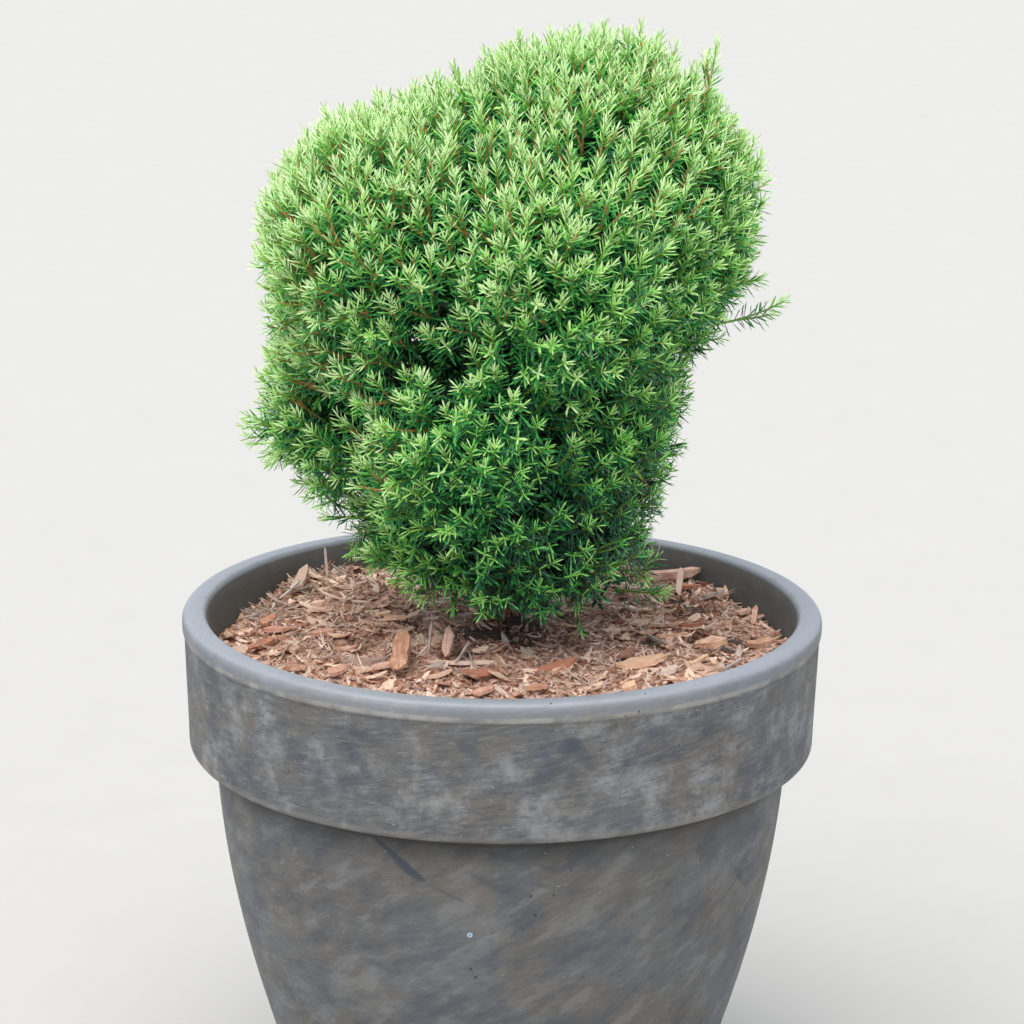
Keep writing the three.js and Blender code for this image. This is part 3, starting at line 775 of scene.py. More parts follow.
# Sizes are in millimetres, density in scraps to a square millimetre, and tilt in degrees.
# Shyness is how far a kind keeps off open soil.
SCATTER_KINDS = {
    "mulch_crumbs": {
        "stations": 3, "length": 3.2, "width": 2.2, "thick": 1.5, "ragged": 0.3, "bend": 0.1,
        "density": 0.062, "smallest": 0.5, "largest": 1.3, "tilt": 60, "lift": 0.3, "clump": 21,
        "shyness": -1.6, "seed": 11, "dark": (56, 42, 35), "pale": (168, 122, 98),
    },
    "mulch_fines": {
        "stations": 3, "length": 5.4, "width": 1.1, "thick": 0.5, "ragged": 0.4, "bend": 0.3,
        "density": 0.115, "smallest": 0.6, "largest": 1.5, "tilt": 34, "lift": 0.5, "clump": 9,
        "shyness": 0.75, "seed": 12, "dark": (120, 74, 54), "pale": (252, 220, 202),
    },
    "mulch_shreds": {
        "stations": 5, "length": 10.5, "width": 2.1, "thick": 0.75, "ragged": 0.35, "bend": 0.9,
        "density": 0.026, "smallest": 0.55, "largest": 1.5, "tilt": 22, "lift": 1.0, "clump": 15,
        "shyness": 0.7, "seed": 13, "dark": (126, 78, 56), "pale": (255, 222, 198),
    },
    "mulch_flakes": {
        "stations": 5, "length": 13, "width": 5.6, "thick": 1.2, "ragged": 0.3, "bend": 1.1,
        "density": 0.0058, "smallest": 0.6, "largest": 1.5, "tilt": 15, "lift": 1.5, "clump": 30,
        "shyness": 0.65, "seed": 14, "dark": (132, 84, 60), "pale": (254, 224, 196),
    },
    "mulch_fibres": {
        "stations": 5, "length": 19, "width": 0.7, "thick": 0.5, "ragged": 0.25, "bend": 2.2,
        "density": 0.0085, "smallest": 0.55, "largest": 1.35, "tilt": 18, "lift": 1.4, "clump": 26,
        "shyness": 0.5, "seed": 15, "dark": (130, 106, 90), "pale": (232, 208, 188),
    },
}


def tube_faces(stations, sides):
    """Triangles of a closed tube: its wall, and a fan over each end."""
    faces = []
    for k in range(stations - 1):
        for j in range(sides):
            near, far = k * sides + j, k * sides + (j + 1) % sides
            faces += [(near, far, far + sides), (near, far + sides, near + sides)]
    last = (stations - 1) * sides
    for j in range(1, sides - 1):
        faces += [(0, j + 1, j), (last, last + j, last + j + 1)]
    return np.array(faces)


def torn_strip(stations, length, width, thick, ragged, bend, chance, bluntness=2):
    """Points of a torn slab that lies along X: ragged, broader at one end, cut aslant at both."""
    taper = TORN_TAPER * chance.uniform(-1, 1)
    slant = TORN_SLANT * width * chance.uniform(-1, 1)
    rings = []
    for k in range(stations):
        share = 2 * k / (stations - 1) - 1
        fullness = math.sqrt(1 - abs(share) ** bluntness * TORN_END) * (1 + taper * share)
        edges = [width / 2 * fullness * (1 + ragged * chance.uniform(-1, 1)) for _ in range(2)]
        half = thick / 2 * (TORN_THINNEST + (1 - TORN_THINNEST) * fullness)
        half *= 1 + TORN_UNEVENNESS * ragged * chance.uniform(-1, 1)
        lift = bend * share**2
        x = length / 2 * share + ragged * length / (2 * stations) * chance.uniform(-1, 1)
        top = [edge * TORN_TOP for edge in edges]
        rings += [(x - slant, -edges[0], lift - half), (x + slant, edges[1], lift - half)]
        rings += [(x + slant, top[1], lift + half), (x - slant, -top[0], lift + half)]
    return rings


def scatter_tree():
    """Strews shapes over a bed, denser in some places than in others, each with its own tint."""
    tree = bpy.data.node_groups.new("scatter", "GeometryNodeTree")
    sockets = {
        "Bed": "Geometry", "Shapes": "Collection", "Density": "Float", "Clump Size": "Float",
        "Smallest": "Float", "Largest": "Float", "Tilt": "Float", "Lift": "Float",
        "Shyness": "Float", "Seed": "Int", "Finish": "Material",
    }
    for name, kind in sockets.items():
        tree.interface.new_socket(name, in_out="INPUT", socket_type="NodeSocket" + kind)
    tree.interface.new_socket("Mulch", in_out="OUTPUT", socket_type="NodeSocketGeometry")
    given = tree.nodes.new("NodeGroupInput").outputs
    start = Wire(tree, given["Seed"])

    def chance(shift, low, high, data_type="FLOAT"):
        inputs = {"Min": low, "Max": high, "Seed": start + shift}
        return start.node("FunctionNodeRandomValue", inputs, data_type=data_type)

    place = start.node("GeometryNodeInputPosition", {})
    clump_scale = start.maths("DIVIDE", 1, given["Clump Size"])
    clumps = start.node(
        "ShaderNodeTexNoise", {"Vector": place, "W": start, "Scale": clump_scale, "Detail": 1.0},
        noise_dimensions="4D",
    )
    facing = start.node("GeometryNodeInputNormal", {})
    skyward = start.node("ShaderNodeSeparateXYZ", {0: facing}, output="Z")
    soil = start.node("GeometryNodeInputNamedAttribute", {"Name": "soil"}, data_type="FLOAT")
    off_soil = 1 - soil * Wire(tree, given["Shyness"])
    density = clumps.step(*CLUMP_EDGES) * Wire(tree, given["Density"])
    density = density * skyward.step(*LEVEL_EDGES) * off_soil
    strewn = start.node(
        "GeometryNodeDistributePointsOnFaces",
        {"Mesh": given["Bed"], "Density": density, "Seed": given["Seed"]},
    )
    shapes = start.node(
        "GeometryNodeCollectionInfo",
        {"Collection": given["Shapes"], "Separate Children": True, "Reset Children": True},
    )
    tilt = Wire(tree, given["Tilt"])
    most = start.node("ShaderNodeCombineXYZ", {"X": tilt, "Y": tilt, "Z": math.pi})
    least = start.node("ShaderNodeVectorMath", {0: most, "Scale": -1.0}, operation="SCALE")
    turned = start.node("FunctionNodeEulerToRotation", {0: chance(1, least, most, "FLOAT_VECTOR")})
    size = chance(2, given["Smallest"], given["Largest"])
    slim = chance(3, *SLIMNESS)
    scale = start.node("ShaderNodeCombineXYZ", {"X": size * slim, "Y": size, "Z": size})
    placed = start.node(
        "GeometryNodeInstanceOnPoints",
        {
            "Points": strewn, "Instance": shapes, "Pick Instance": True,
            "Instance Index": chance(4, 0, SCATTER_SHAPES - 1, "INT"),
            "Rotation": turned, "Scale": scale,
        },
    )
    lift = start.node("ShaderNodeCombineXYZ", {"Z": chance(5, 0, 1) * Wire(tree, given["Lift"])})
    lifted = start.node(
        "GeometryNodeTranslateInstances",
        {"Instances": placed, "Translation": lift, "Local Space": False},
    )
    tinted = start.node(
        "GeometryNodeStoreNamedAttribute",
        {"Geometry": lifted, "Name": "tint", "Value": chance(6, 0, 1)},
        data_type="FLOAT", domain="INSTANCE",
    )
    real = start.node("GeometryNodeRealizeInstances", {"Geometry": tinted})
    finished = start.node("GeometryNodeSetMaterial", {"Geometry": real, "Material": given["Finish"]})
    tree.links.new(finished.socket, tree.nodes.new("NodeGroupOutput").inputs["Mulch"])
    return tree


def bark_finish(dark, pale):
    """Bark of one kind. Each scrap has its own tint and redness, and fine fibres run through it."""
    def finish(place):
        tint = place.node("ShaderNodeAttribute", {}, output="Fac", attribute_name="tint")
        redness = (tint * RED_DEAL).maths("FRACT", tint * RED_DEAL)
        greyness = (tint * GREY_DEAL).maths("FRACT", tint * GREY_DEAL).step(*GREY_EDGES)
        grain = place.node("ShaderNodeAttribute", {}, output="Vector", attribute_name="grain")
        apart = place.node("ShaderNodeCombineXYZ", {"X": tint})
        own = grain.node("ShaderNodeVectorMath", {0: grain, 1: apart}, operation="ADD")
        fibres = own.stretch(FIBRE_SQUEEZE, 1, 1).noise(FIBRE_SIZE, 3, 0.7)
        patches = own.noise(PATCH_SIZE, 3, 0.6)
        shade = tint * SHADE_BY_TINT + (fibres - 0.5) * SHADE_BY_FIBRE
        shade = shade + (patches - 0.5) * SHADE_BY_PATCH + SHADE_BASE
        colour = shade.step(0.0, 1.0).mix(srgb(*dark), srgb(*pale))
        colour = (redness * redness * RED_STRENGTH).mix(colour, srgb(*BARK_RED))
        colour = (greyness * GREY_STRENGTH).mix(colour, srgb(*BARK_GREY))
        return {"Base Color": colour, "Normal": fibres.bump(BARK_RELIEF)}
    return finish


scatter = scatter_tree()
scatter_inputs = {
    item.name: item.identifier
    for item in scatter.interface.items_tree if item.in_out == "INPUT"
}
for name, kind in SCATTER_KINDS.items():
    chance = np.random.default_rng(kind["seed"])
    shapes = bpy.data.collections.new(name)
    scene.collection.children.link(shapes)
    for i in range(SCATTER_SHAPES):
        strip = torn_strip(*[kind[size] for size in STRIP_SIZES], chance)
        shape = add_piece(f"{name}_shape_{i}", strip, tube_faces(kind["stations"], 4), [], grain=strip)
        scene.collection.objects.unlink(shape)
        shapes.objects.link(shape)
    strewer = bpy.data.objects.new(name + "_strewer", mulch_bed.data.copy())
    scene.collection.objects.link(strewer)
    modifier = strewer.modifiers.new("scatter", "NODES")
    modifier.node_group = scatter
    values = {
        "Shapes": shapes, "Density": kind["density"] / MM**2, "Clump Size": kind["clump"] * MM,
        "Smallest": kind["smallest"], "Largest": kind["largest"], "Tilt": math.radians(kind["tilt"]),
        "Lift": kind["lift"] * MM, "Shyness": kind["shyness"], "Seed": kind["seed"],
        "Finish": make_material(name, bark_finish(kind["dark"], kind["pale"]), Roughness=0.88),
    }
    for key, value in values.items():
        modifier[scatter_inputs[key]] = value
    strewn = strewer.evaluated_get(bpy.context.evaluated_depsgraph_get())
    piece = bpy.data.objects.new(name, bpy.data.meshes.new_from_object(strewn))
    scene.collection.objects.link(piece)
    strewer.modifiers.remove(modifier)
    for leftover in [strewer, *shapes.objects]:
        bpy.data.objects.remove(leftover)
    bpy.data.collections.remove(shapes)
    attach(piece, "root")


# Chips: a few larger flakes of bark, splinters and dry twigs lie on top of the fine mulch,
# some tilted where they landed.
CHIP_COLOURS = {
    "chip_pink": ((184, 130, 108), (255, 222, 202)),
    "chip_tan": ((168, 112, 84), (244, 202, 168)),
    "chip_red": ((122, 74, 54), (192, 128, 100)),
    "chip_grey": ((130, 116, 106), (206, 192, 182)),
    "chip_wisp": ((122, 102, 86), (198, 178, 158)),
}
# Each chip: place x and y, length, width, thickness, turn and tilt in degrees.
CHIPS = {
    "chip_pink": (
        (-106, 4, 13, 6, 1.6, -20, 5), (-85, -6, 12, 6, 1.6, 15, 8), (-74, -67, 11, 7, 1.6, 40, 5),
        (-54, -61, 10, 5, 1.6, 10, 10), (-25, -42, 14, 5, 1.8, 75, 45), (-20, -51, 36, 2.4, 1.4, -14, 4),
        (-89, 33, 12, 5, 1.5, -35, 8), (84, 92, 30, 6, 3.6, 8, 3), (62, 98, 12, 9, 1.8, 85, 50),
        (87, 64, 15, 3, 1.4, 80, 45), (65, 13, 8, 5, 1.5, 30, 6), (117, 46, 7, 4, 1.6, 10, 12),
        (122, 36, 11, 3, 1.6, 80, 40), (74, -59, 14, 6, 1.8, 20, 8), (83, -66, 7, 4, 1.5, 65, 5),
        (-40, 112, 16, 5, 1.6, 12, 5), (24, 120, 12, 5, 1.6, -40, 5), (-8, -92, 12, 5, 1.5, 35, 6),
        (36, -104, 10, 6, 1.6, -15, 6), (-98, -58, 11, 5, 1.5, 70, 8),
    ),
    "chip_tan": (
        (-50, 4, 13, 6, 1.4, -45, 12), (-57, 22, 8, 5, 1.4, 20, 6), (-46, -56, 27, 8.5, 2.0, 84, 24),
        (98, -12, 12, 9, 3.6, 20, 8), (123, -3, 13, 8, 3.2, 25, 6), (64, -52, 20, 11, 2.0, 10, 6),
        (57, -78, 8, 8, 2.4, 40, 6), (80, -8, 14, 2.4, 1.4, -8, 8), (-100, 72, 22, 6, 1.8, 78, 20),
        (90, -43, 16, 2.2, 1.4, 48, 6), (16, -86, 9, 6, 1.6, -30, 8), (-112, 22, 12, 6, 1.6, 60, 6),
    ),
    "chip_red": (
        (-63, -51, 19, 8, 1.8, -18, 6), (-10, -70, 14, 8, 1.6, 5, 5), (88, 10, 17, 2.8, 1.6, -3, 6),
        (-112, -22, 14, 6, 1.6, 55, 6), (40, 104, 15, 7, 1.6, 30, 5), (25, -60, 21, 8, 2.2, 32, 6),
        (92, 72, 18, 6, 1.6, -50, 12), (58, -35, 12, 5, 1.5, 65, 8),
    ),
    "chip_grey": (
        (-33, -45, 17, 1.3, 1.0, 82, 50), (-18, -48, 14, 1.1, 0.9, 60, 30), (71, -12, 40, 1.8, 1.3, -72, 5),
        (-104, 60, 16, 1.3, 1.0, 50, 24), (-88, 88, 16, 1.3, 1.0, 100, 52), (-120, 34, 12, 1.1, 0.9, 20, 14),
        (104, -46, 22, 1.3, 1.0, 48, 5), (-110, 50, 13, 0.9, 0.8, 150, 20), (-98, 62, 14, 0.9, 0.8, -30, 25),
        (-112, 40, 12, 0.9, 0.8, 75, 18), (-30, -63, 9, 4, 1.0, 30, 10), (104, 66, 13, 6, 1.8, -35, 25),
    ),
}
CHIP_STATIONS = 8
CHIP_RAGGED = 0.13
CHIP_BLUNTNESS = 16
CHIP_LIFT = 1.8
CHIP_BEND = 0.03
# Wisps of fine fibre lie matted against the pot's wall: centre, spread and count of each tuft.
TUFTS = (((-112, 36), 7, 60), ((-96, 70), 9, 50), ((-84, 92), 7, 24))
WISP_REACH = 129
WISP_LENGTHS = (5, 13)
WISP_WIDTH = 0.6
WISP_THICKNESS = 0.5
WISP_TILT = 32

chance = np.random.default_rng(17)


def wisp(centre, spread):
    """A fibre near a tuft's centre, kept clear of the pot's wall."""
    x, y = chance.normal(centre, spread)
    inward = min(1, WISP_REACH / math.hypot(x, y))
    length = chance.uniform(*WISP_LENGTHS)
    turn = chance.uniform(0, 360)
    tilt = chance.uniform(0, WISP_TILT)
    return x * inward, y * inward, length, WISP_WIDTH, WISP_THICKNESS, turn, tilt


wisps = [wisp(centre, spread) for centre, spread, count in TUFTS for _ in range(count)]
for name, chips in (CHIPS | {"chip_wisp": wisps}).items():
    points, faces, tints, grains = [], [], [], []
    for x, y, long, wide, thick, turn, tilt in chips:
        sizes = (CHIP_STATIONS, long, wide, thick, CHIP_RAGGED, CHIP_BEND * long)
        strip = torn_strip(*sizes, chance, CHIP_BLUNTNESS)
        tilt = math.radians(tilt)
        rise = long / 2 * math.sin(tilt) + CHIP_LIFT
        pose = Matrix.Translation((x, y, bed_height(x, y) + rise))
        pose = pose @ Matrix.Rotation(math.radians(turn), 4, "Z") @ Matrix.Rotation(-tilt, 4, "Y")
        faces.append(tube_faces(CHIP_STATIONS, 4) + len(points))
        points += [pose @ Vector(corner) for corner in strip]
        tints += [chance.random()] * len(strip)
        grains += strip
    material = make_material(name, bark_finish(*CHIP_COLOURS[name]), Roughness=0.85)
    piece = add_piece("mulch_" + name, points, np.concatenate(faces), [material], grain=grains)
    piece.data.attributes.new("tint", "FLOAT", "POINT").data.foreach_set("value", tints)
    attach(piece, "root")


# Trunk: a short woody stem with a flared foot and stringy, red-brown bark, hidden in the
# crown. A limb leaves it for each mass of the crown.
TRUNK_ROUTE = ((-3, 1, -SOIL_DEPTH), (-2, 1, 20), (4, -1, 78), (13, 1, 138))
TRUNK_FOOT_RADIUS = 12.5
TRUNK_RADIUS = 8
TRUNK_TIP_RADIUS = 3.2
TRUNK_STATIONS = 90
TRUNK_SIDES = 40
TRUNK_LENGTH = 172
TRUNK_SEED = 5
FLARE_SHARE = 0.14
# The bark's strings: how far they stand out, how close they lie, and their length. Finer ones
# run among them.
BARK_STRING = 0.09
STRING_CLOSENESS = 3
STRING_LENGTH = 16
FINE_STRINGS = 2.7
FINE_SHARE = 0.5
WOOD_DARK = (74, 50, 36)
WOOD_RED = (140, 96, 66)
WOOD_STRING = 1.4
WOOD_EDGES = (0.35, 0.68)
WOOD_RELIEF = 0.5
# A direction that no stem follows.
ASKEW = (0.31, 0.47, 0.83)


def spline(route, stations):
    """A smooth line through a few points, sampled at even steps of its parameter."""
    route = np.array(route, float)
    ends = [2 * route[0] - route[1], *route, 2 * route[-1] - route[-2]]
    line = []
    for share in np.linspace(0, len(route) - 1, stations):
        i = min(int(share), len(route) - 2)
        t = share - i
        a, b, c, d = ends[i : i + 4]
        line.append(0.5 * (
            2 * b + (c - a) * t + (2 * a - 5 * b + 4 * c - d) * t**2
            + (3 * b - a - 3 * c + d) * t**3
        ))
    return np.array(line)


def unit(vectors):
    return vectors / np.linalg.norm(vectors, axis=-1, keepdims=True)


def tubes(routes, radii, sides, relief=None):
    """Closed tubes along many routes at once. relief swells or thins each point of their walls."""
    routes = np.asarray(routes, float)
    count, stations = routes.shape[:2]
    along = unit(np.gradient(routes, axis=1))
    start = np.cross(along[:, :1], ASKEW)
    across = unit(start - (start * along).sum(-1, keepdims=True) * along)
    other = np.cross(along, across)
    angles = np.arange(sides) * 2 * math.pi / sides
    wall = across[:, :, None] * np.cos(angles)[:, None] + other[:, :, None] * np.sin(angles)[:, None]
    reach = np.broadcast_to(radii, (count, stations))[:, :, None, None]
    if relief is not None:
        reach = reach * relief[..., None]
    points = routes[:, :, None] + wall * reach
    shifts = np.arange(count)[:, None, None] * stations * sides
    return points.reshape(-1, 3), (tube_faces(stations, sides) + shifts).reshape(-1, 3)


def stringy(stations, sides, length, seed):
    """Ridges that run along a stem, as a share of its radius."""
    relief = np.ones((1, stations, sides))
    for k in range(stations):
        for j in range(sides):
            angle = 2 * math.pi * j / sides
            along = seed + length * k / stations / STRING_LENGTH
            across = math.cos(angle), math.sin(angle)
            place = Vector((*(STRING_CLOSENESS * part for part in across), along))
            strings = noise.noise(place) + FINE_SHARE * noise.noise(place * FINE_STRINGS)
            relief[0, k, j] += BARK_STRING * strings
    return relief


def wood_finish(place):
    strings = place.stretch(1, 1, 0.25).noise(WOOD_STRING, 4, 0.65)
    return {
        "Base Color": strings.step(*WOOD_EDGES).mix(srgb(*WOOD_DARK), srgb(*WOOD_RED)),
        "Normal": strings.bump(WOOD_RELIEF),
    }


trunk_line = spline([(x, y, POT_HEIGHT + height) for x, y, height in TRUNK_ROUTE], TRUNK_STATIONS)
trunk_share = np.linspace(0, 1, TRUNK_STATIONS)
flare = np.clip(1 - trunk_share / FLARE_SHARE, 0, None) ** 2
trunk_radii = lerp(TRUNK_RADIUS, TRUNK_TIP_RADIUS, trunk_share) + (TRUNK_FOOT_RADIUS - TRUNK_RADIUS) * flare
trunk_relief = stringy(TRUNK_STATIONS, TRUNK_SIDES, TRUNK_LENGTH, TRUNK_SEED)
wood = make_material("stem_bark", wood_finish, Roughness=0.85)
trunk_tube = tubes([trunk_line], trunk_radii, TRUNK_SIDES, trunk_relief)
trunk = add_piece("bark_trunk", *trunk_tube, [wood], smooth=True)
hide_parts("trunk")
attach(trunk, "root")


# Masses: the crown is made of sixteen, five to each tier of skirt, waist and shoulder, and
# one at the top. Each has a globe, and shares the crown with its neighbours. Two more globes
# round out the crest.
SIDES = ("right", "back_right", "back_left", "front_left", "front_right")
TURNED_SIDES = ("back_right", "back", "left", "front", "front_right")
# Each tier: its sides, the bearing of the first, the height, distance out and radius of its
# globes, and the height at which its boughs leave the trunk.
TIERS = {
    "skirt": (SIDES, 0, 40, 27, 45, 10),
    "waist": (TURNED_SIDES, 36, 102, 49, 45, 38),
    "shoulder": (SIDES, 0, 178, 66, 57, 88),
}
SIDE_TURN = 72
TOP = {"out": 38, "height": 212, "radius": 60}
CREST_GLOBES = (((58, 14, 206), 50), ((14, 8, 211), 54))
LIMB_STAGGER = 4.6
LIMB_SAG = 7
CROWN_BLEND = 16
# How much further out and higher a mass stands than its tier.
SHIFTED = {
    "skirt_back_left": (8, 3),
    "skirt_front_left": (8, 5),
    "waist_left": (24, 3),
    "waist_back": (10, 0),
    "waist_front": (12, 0),
    "shoulder_right": (1, 4),
    "shoulder_back_left": (5, 6),
    "shoulder_front_left": (5, 6),
    "shoulder_back_right": (-4, 0),
    "shoulder_front_right": (-4, 0),
}


def on_trunk(height):
    """The place on the trunk's axis at a height above the rim."""
    above = np.flatnonzero(trunk_line[:, 2] >= POT_HEIGHT + height)
    return trunk_line[above[0] if len(above) else -1]


masses = []
for tier, (sides, turn, height, out, radius, leaves) in TIERS.items():
    for i, side in enumerate(sides):
        name = f"{tier}_{side}"
        further, higher = SHIFTED.get(name, (0, 0))
        bearing = math.radians(turn + SIDE_TURN * i)
        x = (out + further) * math.cos(bearing)
        y = (out + further) * math.sin(bearing)
        masses.append({
            "name": name, "tier": tier, "centre": (x, y, POT_HEIGHT + height + higher),
            "radius": radius, "start": on_trunk(leaves + LIMB_STAGGER * ((2 * i) % 5)),
        })
masses.append({
    "name": "top", "tier": "top", "centre": (TOP["out"], 0, POT_HEIGHT + TOP["height"]),
    "radius": TOP["radius"], "start": trunk_line[-1],
})
centres = np.array([mass["centre"] for mass in masses])
globes = np.array([mass["radius"] for mass in masses])
crest_centres = [(x, y, POT_HEIGHT + z) for (x, y, z), _ in CREST_GLOBES]
outline_centres = np.concatenate([centres, crest_centres])
outline_globes = np.concatenate([globes, [radius for _, radius in CREST_GLOBES]])


def outside(points):
    """Depth outside the crown's outline, in which all globes blend."""
    gaps = np.linalg.norm(points[..., None, :] - outline_centres, axis=-1)
    return -CROWN_BLEND * np.log(np.exp((outline_globes - gaps) / CROWN_BLEND).sum(-1))


def outward_at(points):
    slopes = [outside(points + axis) - outside(points - axis) for axis in np.eye(3)]
    return unit(np.stack(slopes, axis=-1))


def owner_of(points):
    """The mass whose space holds each point: flat walls part neighbours where their globes cross."""
    return (((points[:, None] - centres) ** 2).sum(-1) - globes**2).argmin(-1)


def curve_through(start, bend, end, stations):
    """Quadratic curves between many pairs of points, each drawn towards its bend."""
    t = np.linspace(0, 1, stations)[:, None]
    start, bend, end = (np.asarray(place, float)[..., None, :] for place in (start, bend, end))
    return (1 - t) ** 2 * start + 2 * t * (1 - t) * bend + t**2 * end


# Boughs: a tapering limb with the trunk's bark for each of the sixteen masses. It runs on
# into its mass as a stem.
BOUGH_RADIUS = 3.4
STEM_TIP_RADIUS = 1.2
BOUGH_STATIONS = 34
BOUGH_SIDES = 14
BOUGH_LENGTH = 60
BOUGH_SEED_STEP = 7

for mass in masses:
    start, centre = np.array(mass["start"]), np.array(mass["centre"])
    middle = (start + centre) / 2 - (0, 0, LIMB_SAG)
    if mass["tier"] == "top":
        heading = unit(trunk_line[-1] - trunk_line[-2])
        middle = start + heading * np.linalg.norm(centre - start) / 2
    mass["limb"] = curve_through(start, middle, centre, BOUGH_STATIONS)

limbs = np.array([mass["limb"] for mass in masses])
limb_radii = np.linspace(BOUGH_RADIUS, STEM_TIP_RADIUS, BOUGH_STATIONS)
limb_relief = np.concatenate([
    stringy(BOUGH_STATIONS, BOUGH_SIDES, BOUGH_LENGTH, BOUGH_SEED_STEP * i)
    for i in range(len(masses))
])
bough_tubes = tubes(limbs, limb_radii, BOUGH_SIDES, limb_relief)
boughs = add_piece("bark_boughs", *bough_tubes, [wood], smooth=True)
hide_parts(*[name for name in frame["nodes"] if name.startswith("bough_")])
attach(boughs, "root")


# Shoots: the crown's outer growth. Each is a soft stem of two to five centimetres set with
# needles, and its tip lies near the crown's outline. Old ones fill the depth behind them, dark
# partly as old growth and partly as painted shade, and a few sprigs have outgrown the rest.
SEED = 29
SHOOT_SPACING = 10.2
SHOOT_CANDIDATES = 4.5
TIP_DEPTH = (4, 11)
LEADER_SHARE = 0.1
LEADER_RISE = 4
FOOT_LOWEST = (18, 14)
FOOT_SLOPES = (-0.2, 0.42)
# How much deeper the tips of a mass lie than the rest.
TUCKED = {
    "skirt_right": 6,
    "skirt_back_right": 12,
    "skirt_back_left": 12,
    "skirt_front_left": 15,
    "skirt_front_right": 3,
    "waist_left": 2,
    "waist_front_right": 8,
    "waist_back_right": 7,
    "shoulder_right": 9,
    "shoulder_back_right": 11,
    "shoulder_front_right": 4,
    "shoulder_back_left": 7,
    "top": 7,
}
RISE_AT_TOP = 1.6
RISE_AT_FOOT = 0.55
AIM_RISE = 1.35
HEADING_RISE = 0.35
# Exposure: how high a shoot stands and how squarely it faces the sun. It shapes the shoot's needles and
# pales their colour. The paleness with height is partly the real paleness of young growth and partly painted
# light; the paleness towards the sun is painted light.
SUNWARD = (-0.75, 0, 0.66)
EXPOSURE_BASE = 0.05
EXPOSURE_BY_HEIGHT = 0.55
EXPOSURE_BY_SUN = 0.42
FORKS_AT_FOOT = 1.2
FORKS_BY_HEIGHT = 1.1
CROWN_HEIGHT = 275
SHOOT_SPREAD = 0.13
SHOOT_LENGTH_FOOT = 27
SHOOT_LENGTH_TOP = 42
SHOOT_LENGTH_RANGE = (0.85, 1.15)
# Old shoots deep in the crown. Their low exposure gives them dark needles: partly the colour of old growth,
# partly painted shade.
OLD_SPACING = 8.8
OLD_DEPTH = (21, 60)
OLD_LENGTH = 19
OLD_EXPOSURE = 0.3
OLD_SPREAD = 0.5
OLD_BROADNESS = 2.6
MARCH_STEP = 2
MARCH_END = 150
# Each sprig: its tip, its heading at its root, its aim at its tip, length, side shoots, exposure.
SPRIGS = (
    ((94, 0, 533), (0.3, 0, 1), (0.1, 0, 1), 42, 2, 0.95),
    ((128, -12, 418), (1, -0.1, 0.2), (1, -0.1, 0.6), 34, 1, 0.6),
    ((-119, -20, 358), (-1, -0.2, -0.1), (-1, -0.2, 0.25), 38, 4, 0.62),
    ((-115, -26, 351), (-1, -0.2, -0.3), (-1, -0.2, 0), 38, 4, 0.56),
    ((-110, -20, 344), (-1, -0.2, -0.3), (-1, -0.2, -0.5), 36, 3, 0.5),
    ((-107, -14, 388), (-1, -0.2, 0.3), (-1, -0.1, 0.5), 30, 2, 0.6),
    ((-70, -24, 299), (-0.8, -0.2, -0.4), (-0.5, -0.2, -1), 30, 1, 0.42),
    ((-61, -30, 293), (-0.6, -0.2, -0.5), (-0.3, -0.2, -1), 30, 1, 0.42),
    ((-50, -40, 290), (-0.9, -0.6, -0.3), (-1, -0.4, -0.1), 28, 2, 0.4),
    ((-43, -46, 291), (-0.9, -0.8, -0.3), (-1, -0.5, 0), 28, 2, 0.4),
    ((-12, -58, 290), (-0.2, -1, -0.3), (-0.2, -1, -0.8), 26, 2, 0.15),
    ((14, -60, 288), (0.1, -1, -0.4), (0.2, -1, -0.9), 26, 2, 0.15),
    ((66, -30, 290), (0.9, -0.4, -0.5), (1, -0.4, -0.2), 26, 1, 0.3),
    ((35, -50, 283), (0.3, -0.8, -0.6), (0.1, -0.6, -1), 26, 2, 0.1),
    ((36, -46, 269), (0.1, -0.5, -0.8), (0.15, -0.1, -1), 30, 0, 0.15),
    ((79, 10, 273), (1, 0.1, -0.2), (1, 0, 0.1), 26, 2, 0.52),
    ((70, 20, 288), (1, 0, -0.2), (0.2, 0, 1), 28, 1, 0.52),
    ((-9, -27, 276), (-0.1, -0.5, -1), (-0.2, -0.3, -1), 30, 2, 0),
    ((-16, -20, 277), (-0.3, -0.5, -1), (-0.4, -0.3, -1), 30, 2, 0),
    ((2, -22, 276), (0, -0.5, -1), (-0.1, -0.3, -1), 30, 2, 0),
    ((18, -20, 278), (0.2, -0.5, -1), (0.1, -0.3, -1), 30, 2, 0),
    ((-30, -12, 284), (-0.6, -0.4, -0.9), (-0.5, -0.2, -1), 30, 2, 0),
    ((-27, -4, 412), (0.2, -1, 0.2), (-0.3, -1, 0.5), 40, 4, 0),
    ((-20, 8, 402), (-0.4, -1, 0), (-0.2, -1, -0.4), 36, 4, 0),
    ((34, -16, 278), (0.5, -0.4, -0.9), (0.4, -0.2, -1), 30, 2, 0),
)

chance = np.random.default_rng(SEED)


def directions_over(count):
    """Directions spread evenly over a globe."""
    rank = np.arange(count) + 0.5
    z = 1 - 2 * rank / count
    across = np.sqrt(1 - z**2)
    turn = math.pi * (3 - math.sqrt(5)) * rank
    return np.stack([across * np.cos(turn), across * np.sin(turn), z], axis=-1)


def surface_along(centre, directions, depth):
    """Where rays from a mass's centre come within a depth of the crown's outline."""
    distances = np.arange(0, MARCH_END, MARCH_STEP)
    level_at = outside(centre + directions[:, None] * distances[:, None]) + np.reshape(depth, (-1, 1))
    first = np.maximum((level_at >= 0).argmax(1), 1)
    rows = np.arange(len(directions))
    before, after = level_at[rows, first - 1], level_at[rows, first]
    share = np.clip(-before / (after - before), 0, 1)
    return centre + directions * ((first - 1 + share) * MARCH_STEP)[:, None]


